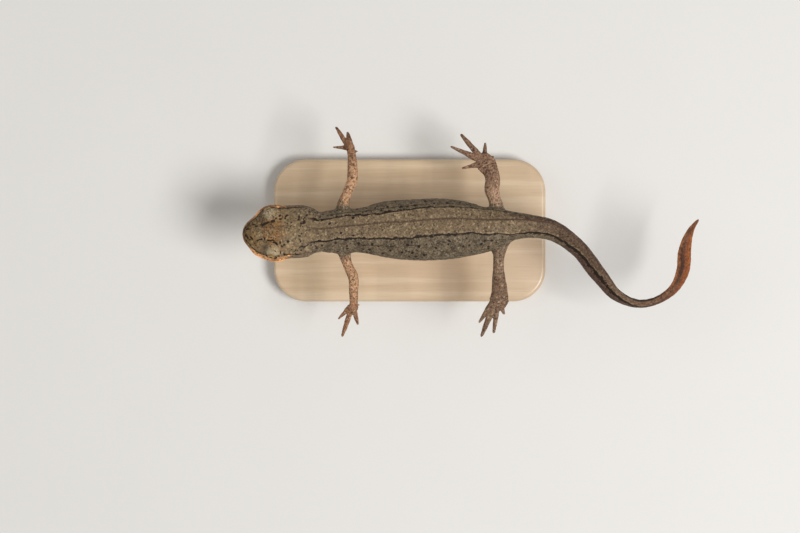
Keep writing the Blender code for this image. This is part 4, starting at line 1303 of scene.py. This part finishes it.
    def face(self, skin):
        """Rusty between the eyes, brown on the snout, pale grey green on the lids and darker before them;
        painted light makes both lighter on the right side.
        """
        paints = self.colours
        crown = self.step(self.down, 66.0, 26.0) * self.head * self.step(self.fine, 0.30, 0.60)
        rust = self.step(abs(self.along - 4.5 + (self.broad - 0.5) * 3), 2.2, 0.4) * crown
        before = self.step(self.ragged(self.lids, 0.8), 2.3, 1.0) * self.step(self.inset, 0.5, 0.9)
        hood = self.step(self.ragged(self.lids, 1.5, 1.5), 1.6, 0.4) * self.step(self.above, 0.3, 0.9)
        return self.layers(
            skin,
            (paints.rust, rust * 0.55),
            (paints.snout, self.fade("snout") * self.step(self.mottle, 0.30, 0.62) * 0.7),
            # Painted light: the grey before the lids and the lids themselves are lighter on the right side
            # than on the left.
            (self.scaled(paints.slate, 0.64 + self.right * 0.21), before * self.fade("before_lids") * 0.8),
            (self.scaled(paints.lid, 0.90 + self.right * 0.24), hood * 0.70),
        )

    def lips(self, skin):
        """A pale pink band round the snout, with a dark line inside it and a dark seam between the lips."""
        paints, above = self.colours, self.above
        uneven = (self.mottle - 0.5) * 0.30 + (self.fine - 0.5) * 0.16
        upper = self.step(above - self.fade("upper_lip") * 1.3, 0.9, 0.5)
        upper = upper * self.step(self.inset + uneven, 0.72, 0.52)
        upper = upper * self.step(self.ragged(self.along, 5, 3), 7.6, 5.4)
        band = upper.most(self.step(self.mouth + uneven, 0.60, 0.40))
        band = band * self.step(above + uneven, -0.45, -0.20)
        grey = self.step(self.mottle + above * 0.08, 0.47, 0.60) * self.step(above, 0.2, 0.7)
        pink = self.layers(
            paints.lip,
            (paints.lip_dark, self.step(self.coarse, 0.55, 0.85) * 0.5),
            (paints.slate, grey * 0.7),
            (paints.cream, self.step(above + uneven, 0.50, 0.10) * 0.55),
        )
        seam = self.step(self.ragged(abs(above), fine=0.10), 0.10, 0.03) * self.step(self.mouth, 0.35, 0.25)
        brink = self.step(abs(self.inset - 0.70 + uneven), 0.14, 0.05) * self.step(above, 0.0, 0.2)
        return self.layers(
            skin,
            (self.scaled(pink, 0.58 + self.tone * 0.55), band * (0.25 + self.fade("lips") * 0.65)),
            (paints.dark, seam * self.fade("seam") * 0.85),
            (paints.dark, brink * self.fade("brink") * self.step(self.coarse, 0.28, 0.40) * 0.9),
        )

    def lines(self, skin):
        """The wavy dark lines of the back with pale rims, a broken second line and the thin middle one."""
        paints, right = self.colours, self.right
        drawn = self.step(self.ragged(self.along, 2), *FADES["lines"]) * self.body
        wave = self.ragged(self.edge, fine=0.32) + (self.noise(self.where, 0.9) - 0.5) * 0.46
        knots = self.step(self.noise(self.where, 1.3), 0.52, 0.66)
        half_width = 0.105 + knots * 0.14 + self.tail * 0.03
        main = self.step(abs(wave) - half_width, 0.045, -0.035) * self.step(self.coarse, 0.10, 0.16)
        rim = self.step(wave, -0.36, -0.22) * self.step(wave, -0.06, -0.12) * self.step(self.fine, 0.44, 0.60)
        sway = (self.noise(self.where, 0.6, 3.0, 0.6) - 0.5) * (1.6 - right * 0.9)
        second = self.step(abs(self.edge - 1.0 + right * 0.3 + sway), 0.12, 0.04) * (1 - self.tail)
        unbroken = right * self.fade("second_line") * self.fade("second_line_ends")
        second = second * self.step(self.broad, 0.48, 0.56).most(unbroken)
        strong = self.fade("spine_dark")
        thread = self.step(self.ragged(self.kept("spine"), fine=0.20), 0.15 + strong * 0.10, 0.05)
        return self.layers(
            skin,
            (paints.rim, rim * drawn * (1 - self.tail_end) * 0.55),
            (paints.dark, main * drawn * (1 - self.tail_end) * 0.97),
            (paints.dark, second * drawn * 0.8),
            (paints.thread, thread * drawn * self.fade("spine_ends") * (0.75 + strong * 0.2)),
        )

    def dots(self, skin):
        """The dark marks of the head and back, scattered dots on the flanks and small specks all over."""
        dark = self.colours.dark
        marks = self.step(self.ragged(self.kept("marks"), fine=0.20), 0.09, 0.01)
        spots = self.cells(self.warped, 1.15) - self.noise(self.where, 0.8, 1.0) * 0.42
        spots = self.step(spots, 0.06, -0.03) * self.step(self.edge, 0.1, 0.5) * self.body * (1 - self.head)
        crowd = self.step(self.noise(self.where, 0.55, 1.0), 0.40, 0.62)
        specks = self.step(self.cells(self.warped, 3.0) - crowd * 0.24, 0.09, 0.01)
        return self.layers(
            skin,
            (dark, marks * 0.96),
            (dark, spots * (1 - self.tail * 0.5) * 0.92),
            (dark, specks * (0.9 * self.head + 0.8 * self.limb + 0.6 * self.body)),
        )

    def finish(self):
        """Lays the regions over one another, with the grain of the skin between, and sets the shader."""
        skin = self.face(self.limbs(self.blade(self.trunk())))
        skin = self.dots(self.lines(self.lips(self.scaled(skin, self.tone))))
        height = self.fine * 0.6 + (1 - self.granules) * 0.6 + self.mottle * 0.3
        self.set(
            Base_Color=skin,
            Roughness=0.50 + self.fine * 0.26,
            Normal=self.bump(height, 0.45, 0.07),
            Specular_IOR_Level=0.12,
            Subsurface_Weight=0.04,
            Subsurface_Radius=(1.0, 0.45, 0.25),
            Subsurface_Scale=0.0005,
        )
        return self.material


def eye_paint(colours):
    """The eye: a golden iris with a dark bar, a round pupil, and a dark rim."""
    paint = Paint("newt_eye_paint")
    place = paint.node("ShaderNodeUVMap", {"uv_map": "iris"})
    x, y = (paint.node("ShaderNodeSeparateXYZ", inputs={0: place}, output=i) * 2 - 1 for i in (0, 1))
    radius = (x * x + y * y) ** 0.5
    where = paint.place()
    grain = paint.step(paint.noise(where, 9.0, 3.0, 0.6), 0.42, 0.62)
    bar = paint.step(abs(y) + (paint.noise(where, 4.0) - 0.5) * 0.16, 0.26, 0.12)
    eye = paint.layers(
        colours.iris,
        (colours.iris_dark, grain * 0.7),
        (colours.iris_dark, bar * 0.85),
        (colours.iris_rim, paint.step(abs(radius - 0.36), 0.07, 0.02) * 0.8),
        (colours.pupil, paint.step(radius, 0.34, 0.31)),
        (colours.eye_edge, paint.step(radius, 0.66, 0.78)),
    )
    paint.set(Base_Color=eye, Roughness=0.28, Specular_IOR_Level=0.3, Coat_Weight=0.6, Coat_Roughness=0.03)
    return paint.material


def wood_paint(colours):
    """Pale maple under satin lacquer, its grain along the base."""
    paint = Paint("maple_paint")
    sway = paint.noise(paint.place((0.03, 0.09, 0.09)), 1.0)
    bands = paint.noise(paint.place((0.05, 1.0, 0.5)), 0.55, 5.0, 0.62)
    fibre = paint.noise(paint.place((0.12, 5.0, 2.0)), 1.6, 3.0, 0.65)
    flame = paint.noise(paint.place((0.5, 0.12, 0.12)), 0.7, 1.0)
    wood = paint.mix(colours.maple, colours.maple_dark, paint.step(bands + sway * 0.25, 0.45, 0.75) * 0.65)
    wood = paint.mix(wood, paint.scaled(wood, 0.80), paint.step(fibre, 0.50, 0.75) * 0.6)
    wood = paint.mix(wood, paint.scaled(wood, 1.12), paint.step(flame, 0.45, 0.7) * 0.6)
    paint.set(
        Base_Color=wood,
        Roughness=0.36 + fibre * 0.12,
        Normal=paint.bump(fibre, 0.12, 0.04),
        Coat_Weight=0.35,
        Coat_Roughness=0.22,
    )
    return paint.material


def steel_paint(colours):
    """Turned steel with fine rings round it."""
    paint = Paint("turned_steel_paint")
    turned = paint.noise(paint.place((0.3, 0.3, 9.0)), 2.2)
    smudge = paint.noise(paint.place(), 0.5)
    steel = paint.mix(colours.steel, paint.scaled(colours.steel, 0.82), paint.step(turned, 0.4, 0.7) * 0.5)
    roughness = 0.22 + turned * 0.10 + smudge * 0.08
    paint.set(Base_Color=steel, Metallic=1.0, Roughness=roughness, Normal=paint.bump(turned, 0.10, 0.02))
    return paint.material


def floor_paint(tint):
    """A pale matt floor, very slightly uneven."""
    paint = Paint("floor_paint")
    grain = paint.noise(paint.place(), 0.06, 3.0)
    paint.set(Base_Color=paint.mix(tint, paint.scaled(tint, 0.97), grain), Roughness=0.75)
    return paint.material


def colour(name, value, what):
    """A colour property, whose label is made from its name."""
    label = name.replace("_", " ").capitalize()
    return bpy.props.FloatVectorProperty(
        name=label, description=what, subtype="COLOR", size=3, min=0.0, max=1.0, default=value
    )


def length(name, value_mm, what):
    """A length property, given in mm and kept in metres."""
    return bpy.props.FloatProperty(
        name=name, description=what, unit="LENGTH", min=0.0, precision=5, default=value_mm * MM
    )


class NewtForm(bpy.types.PropertyGroup):
    """The sizes of the skin's relief."""

    grain: length("Mesh grain", 0.105, "Side of the skin's mesh faces before it is thinned")
    mouth_depth: length("Mouth line", 0.19, "Depth of the line between the lips")
    fold_depth: length("Throat fold", 0.16, "Depth of the fold across the throat")
    rib_depth: length("Rib grooves", 0.035, "Depth of the grooves on the flanks")
    most_faces: bpy.props.IntProperty(
        name="Most triangles", description="Where the skin's thinning stops", default=190000, min=1000
    )


class NewtColours(bpy.types.PropertyGroup):
    """The paints of the newt, its eyes and its stand."""

    __annotations__ = {name: colour(name, *paint) for name, paint in PAINTS.items()}


class NewtStudio(bpy.types.PropertyGroup):
    """The light, floor and camera."""

    camera_height: length("Camera height", 415.0, "Height of the camera above the floor")
    lens: bpy.props.FloatProperty(name="Lens", description="Focal length in mm", default=120.0, min=20.0)
    key: bpy.props.FloatProperty(name="Key light", description="Its power in watts", default=2.7, min=0.0)
    fill: bpy.props.FloatProperty(name="Fill light", description="Its power in watts", default=0.6, min=0.0)
    sky: bpy.props.FloatProperty(name="Sky", description="Strength of the even light", default=0.34, min=0.0)
    floor: colour("floor", (0.68, 0.665, 0.64), "Colour of the floor")


class NEWT_OT_build_skin(bpy.types.Operator):
    """Models the whole skin from snout to tail and digits, and paints its markings."""

    bl_idname = "newt.build_skin"
    bl_label = "Build Skin"

    def execute(self, context):
        form = context.scene.newt_form
        rounds = SNOUT_ROUND * (1 - np.cos(np.radians(np.linspace(0, 90, 16))))
        close = np.arange(SNOUT_ROUND + HEAD_STEP, HEAD_END, HEAD_STEP)
        far = np.linspace(HEAD_END + 0.2, BODY_CURVE.length - TAIL_ROUND, TRUNK_STATIONS)
        end = BODY_CURVE.length - TAIL_ROUND * (1 - np.sin(np.radians(np.linspace(12, 90, 8))))
        trunk = body_tube("trunk", np.concatenate([rounds, close, far, end]), TRUNK_SIDES, form=head_form)
        for side in (1, -1):
            cut(trunk, eye_cutters(side))
        pieces = [trunk]
        for name, curve in LIMB_CURVES.items():
            kind = name.split("_")[0]
            pieces.append(limb_tube(curve))
            for digit in LIMBS[name]["digits"]:
                pieces.append(digit_tube(digit, DIGIT_SUNK[kind], DIGIT_SPARE[kind]))
        skin = join_all(pieces, "newt_skin")
        grain = form.grain / MM * 1.0
        apply_modifier(skin, "one_surface", "REMESH", mode="VOXEL", voxel_size=grain, adaptivity=0.0)
        apply_modifier(skin, "even_out", "SMOOTH", factor=0.5, iterations=2)
        fill_creases(skin)
        relief = Relief(coordinates(skin), form).total()
        move_points(skin, coordinates(skin) + normals(skin) * relief[:, None])
        skin.data.calc_loop_triangles()
        count = len(skin.data.loop_triangles)
        if count > form.most_faces:
            apply_modifier(skin, "thin", "DECIMATE", ratio=form.most_faces / count)
        mark_skin(skin)
        skin.data.materials.clear()
        skin.data.materials.append(SkinPaint(context.scene.newt_colours).finish())
        settle(skin)
        parts = ["head", "neck", "torso", "tail_root", "tail_middle", "tail_bend", "tail_tip"]
        for side in ("right", "left"):
            parts += [f"{part}_{side}" for part in ("upper_arm", "forearm", "hand", "thigh", "shank", "foot")]
        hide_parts(*parts)
        return {"FINISHED"}


class NEWT_OT_build_eyes(bpy.types.Operator):
    """Models the two eyes, each with a raised cornea, and paints their irises."""

    bl_idname = "newt.build_eyes"
    bl_label = "Build Eyes"

    def execute(self, context):
        finish = eye_paint(context.scene.newt_colours)
        for side, name in ((1, "right"), (-1, "left")):
            ahead, length_way, height_way = eye_axes(side)
            deselect()
            bpy.ops.mesh.primitive_uv_sphere_add(segments=64, ring_count=40, radius=EYE_RADIUS)
            eye = bpy.context.object
            eye.name = f"newt_eye_{name}"
            points = coordinates(eye)
            plane, front = points[:, :2] / EYE_RADIUS, points[:, 2] > 0
            inside = 1 - (np.hypot(*plane.T) / CORNEA_REACH) ** 2
            points[front, 2] += CORNEA_HEIGHT * np.clip(inside[front], 0, 1) ** 1.5
            move_points(eye, lids_centre(side) + ahead * EYE_PROUD + points @ (length_way, height_way, ahead))
            if np.dot(np.cross(length_way, height_way), ahead) < 0:
                pick(eye)
                bpy.ops.object.mode_set(mode="EDIT")
                bpy.ops.mesh.select_all(action="SELECT")
                bpy.ops.mesh.flip_normals()
                bpy.ops.object.mode_set(mode="OBJECT")
            spread = np.where(front, 1.0, IRIS_BACK_SPREAD)[:, None]
            self.lay_iris(eye, np.clip(plane * spread, -1, 1))
            eye.data.materials.append(finish)
            settle(eye)
            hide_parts(f"eye_{name}")
        return {"FINISHED"}

    def lay_iris(self, eye, plane):
        """Gives the eye its own map: the places of its points, from -1 to 1, set between 0 and 1."""
        for layer in list(eye.data.uv_layers):
            eye.data.uv_layers.remove(layer)
        corners = np.empty(len(eye.data.loops), np.int32)
        eye.data.loops.foreach_get("vertex_index", corners)
        places = (0.5 + 0.5 * plane)[corners].astype(np.float32)
        eye.data.uv_layers.new(name="iris").data.foreach_set("uv", places.ravel())


class NEWT_OT_build_base(bpy.types.Operator):
    """Models the flat wooden base, with round corners and a softened rim."""

    bl_idname = "newt.build_base"
    bl_label = "Build Base"

    def execute(self, context):
        deselect()
        size = (BASE_LENGTH, BASE_WIDTH, BASE_THICKNESS)
        middle = (0, 0, BASE_THICKNESS / 2 - AXIS_HEIGHT)
        bpy.ops.mesh.primitive_cube_add(size=1.0, location=middle, scale=size)
        base = bpy.context.object
        base.name = "display_base"
        bpy.ops.object.transform_apply(location=True, rotation=True, scale=True)
        bpy.ops.object.mode_set(mode="EDIT")
        self.select_edges(base, lambda a, b: abs(a.z - b.z) > 1)
        bpy.ops.mesh.bevel(offset=BASE_CORNER, segments=14, affect="EDGES")
        top = BASE_THICKNESS - AXIS_HEIGHT
        self.select_edges(base, lambda a, b: min(a.z, b.z) > top - 0.01)
        bpy.ops.mesh.bevel(offset=BASE_CHAMFER, segments=5, profile=0.5, affect="EDGES")
        self.select_edges(base, lambda a, b: max(a.z, b.z) < 0.01 - AXIS_HEIGHT)
        bpy.ops.mesh.bevel(offset=BASE_FOOT, segments=2, affect="EDGES")
        bpy.ops.object.mode_set(mode="OBJECT")
        base.data.materials.append(wood_paint(context.scene.newt_colours))
        settle(base)
        pick(base)
        bpy.ops.object.shade_smooth_by_angle(angle=math.radians(32))
        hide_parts("stand_base")
        return {"FINISHED"}

    def select_edges(self, thing, wanted):
        """Selects the edges whose two ends are as wanted, in edit mode."""
        bpy.ops.mesh.select_mode(type="EDGE")
        work = bmesh.from_edit_mesh(thing.data)
        for edge in work.edges:
            edge.select_set(bool(wanted(edge.verts[0].co, edge.verts[1].co)))
        bmesh.update_edit_mesh(thing.data)


class NEWT_OT_build_rods(bpy.types.Operator):
    """Turns the two steel rods, each with a collar at its foot and a saddle cut to the belly."""

    bl_idname = "newt.build_rods"
    bl_label = "Build Rods"

    def execute(self, context):
        finish = steel_paint(context.scene.newt_colours)
        foot = BASE_THICKNESS - AXIS_HEIGHT
        profile = [(radius, foot + height) for radius, height in ROD_FOOT]
        profile += [(radius, height - BELLY_DEPTH) for radius, height in ROD_SADDLE]
        reach, spare = ROD_SEAT
        for name, (x, y) in ROD_PLACES.items():
            rod = self.turned(f"display_rod_{name}", profile, x, y)
            place = x - BODY["snout"][0]
            cut(rod, [body_tube("belly", np.linspace(place - reach, place + reach, 30), 96, swell=spare)])
            apply_modifier(rod, "soften", "BEVEL", width=0.06, segments=2, limit_method="ANGLE")
            rod.data.materials.clear()
            rod.data.materials.append(finish)
            settle(rod)
            pick(rod)
            bpy.ops.object.shade_smooth_by_angle(angle=math.radians(40))
            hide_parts(f"stand_rod_{name}")
        return {"FINISHED"}

    def turned(self, name, profile, x, y):
        """Spins a profile of radius and height round an upright axis at x, y."""
        deselect()
        bpy.ops.mesh.primitive_plane_add(size=1.0, location=(x, y, 0))
        rod = bpy.context.object
        rod.name = name
        bpy.ops.object.transform_apply(location=True, rotation=True, scale=True)
        bpy.ops.object.mode_set(mode="EDIT")
        work = bmesh.from_edit_mesh(rod.data)
        bmesh.ops.delete(work, geom=work.verts, context="VERTS")
        line = [work.verts.new((x + radius, y, z)) for radius, z in profile]
        for a, b in zip(line, line[1:]):
            work.edges.new((a, b))
        bmesh.update_edit_mesh(rod.data)
        bpy.ops.mesh.select_all(action="SELECT")
        bpy.ops.mesh.spin(steps=64, angle=2 * math.pi, center=(x, y, 0), axis=(0, 0, 1))
        bpy.ops.mesh.select_all(action="SELECT")
        bpy.ops.mesh.remove_doubles(threshold=0.001)
        bpy.ops.mesh.normals_make_consistent(inside=False)
        bpy.ops.object.mode_set(mode="OBJECT")
        return rod


class NEWT_OT_build_stage(bpy.types.Operator):
    """Sets up the pale floor, the soft studio light and the camera above the newt."""

    bl_idname = "newt.build_stage"
    bl_label = "Build Stage"

    def execute(self, context):
        studio = context.scene.newt_studio
        deselect()
        bpy.ops.mesh.primitive_plane_add(size=FLOOR_SIZE, location=(0, 0, 0))
        floor = bpy.context.object
        floor.name = "floor"
        floor.data.materials.append(floor_paint(studio.floor))

        self.lamp("key_light", KEY_PLACE, KEY_SIZE, studio.key)
        self.lamp("fill_light", FILL_PLACE, FILL_SIZE, studio.fill)
        world = bpy.data.worlds.new("studio_sky")
        world.use_nodes = True
        sky = world.node_tree.nodes["Background"].inputs
        sky["Color"].default_value = SKY_COLOUR
        sky["Strength"].default_value = studio.sky
        context.scene.world = world
        context.scene.view_settings.view_transform = "Standard"

        lens = bpy.data.cameras.new("camera")
        lens.lens = studio.lens
        lens.sensor_width = SENSOR_MM
        lens.clip_start = 0.01
        camera = bpy.data.objects.new("camera", lens)
        context.scene.collection.objects.link(camera)
        camera.location = (*CAMERA_PLACE, studio.camera_height)
        context.scene.camera = camera
        return {"FINISHED"}

    def lamp(self, name, place, size, power):
        """A square soft light aimed at the newt."""
        light = bpy.data.lights.new(name, "AREA")
        light.size = size
        light.energy = power
        lamp = bpy.data.objects.new(name, light)
        bpy.context.scene.collection.objects.link(lamp)
        lamp.location = place
        aim = Vector((0, 0, AXIS_HEIGHT * MM)) - Vector(place)
        lamp.rotation_euler = aim.to_track_quat("-Z", "Y").to_euler()


class NEWT_PT_panel(bpy.types.Panel):
    """The newt model's settings and the steps that build it."""

    bl_idname = "NEWT_PT_panel"
    bl_label = "Newt"
    bl_space_type = "VIEW_3D"
    bl_region_type = "UI"
    bl_category = "Newt"

    def draw(self, context):
        layout = self.layout
        for name in GROUPS:
            group = getattr(context.scene, name)
            box = layout.box()
            for key in group.bl_rna.properties.keys():
                if key not in ("rna_type", "name"):
                    box.prop(group, key)
        for operator in OPERATORS:
            layout.operator(operator.bl_idname)


GROUPS = {"newt_form": NewtForm, "newt_colours": NewtColours, "newt_studio": NewtStudio}
OPERATORS = (
    NEWT_OT_build_skin,
    NEWT_OT_build_eyes,
    NEWT_OT_build_base,
    NEWT_OT_build_rods,
    NEWT_OT_build_stage,
)


def register():
    for name, group in GROUPS.items():
        bpy.utils.register_class(group)
        setattr(bpy.types.Scene, name, bpy.props.PointerProperty(type=group))
    for operator in OPERATORS:
        bpy.utils.register_class(operator)
    bpy.utils.register_class(NEWT_PT_panel)


def unregister():
    bpy.utils.unregister_class(NEWT_PT_panel)
    for operator in reversed(OPERATORS):
        bpy.utils.unregister_class(operator)
    for name, group in GROUPS.items():
        delattr(bpy.types.Scene, name)
        bpy.utils.unregister_class(group)


def main():
    register()
    bpy.ops.newt.build_skin()
    bpy.ops.newt.build_eyes()
    bpy.ops.newt.build_base()
    bpy.ops.newt.build_rods()
    bpy.ops.newt.build_stage()
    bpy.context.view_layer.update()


if __name__ == "__main__":
    main()
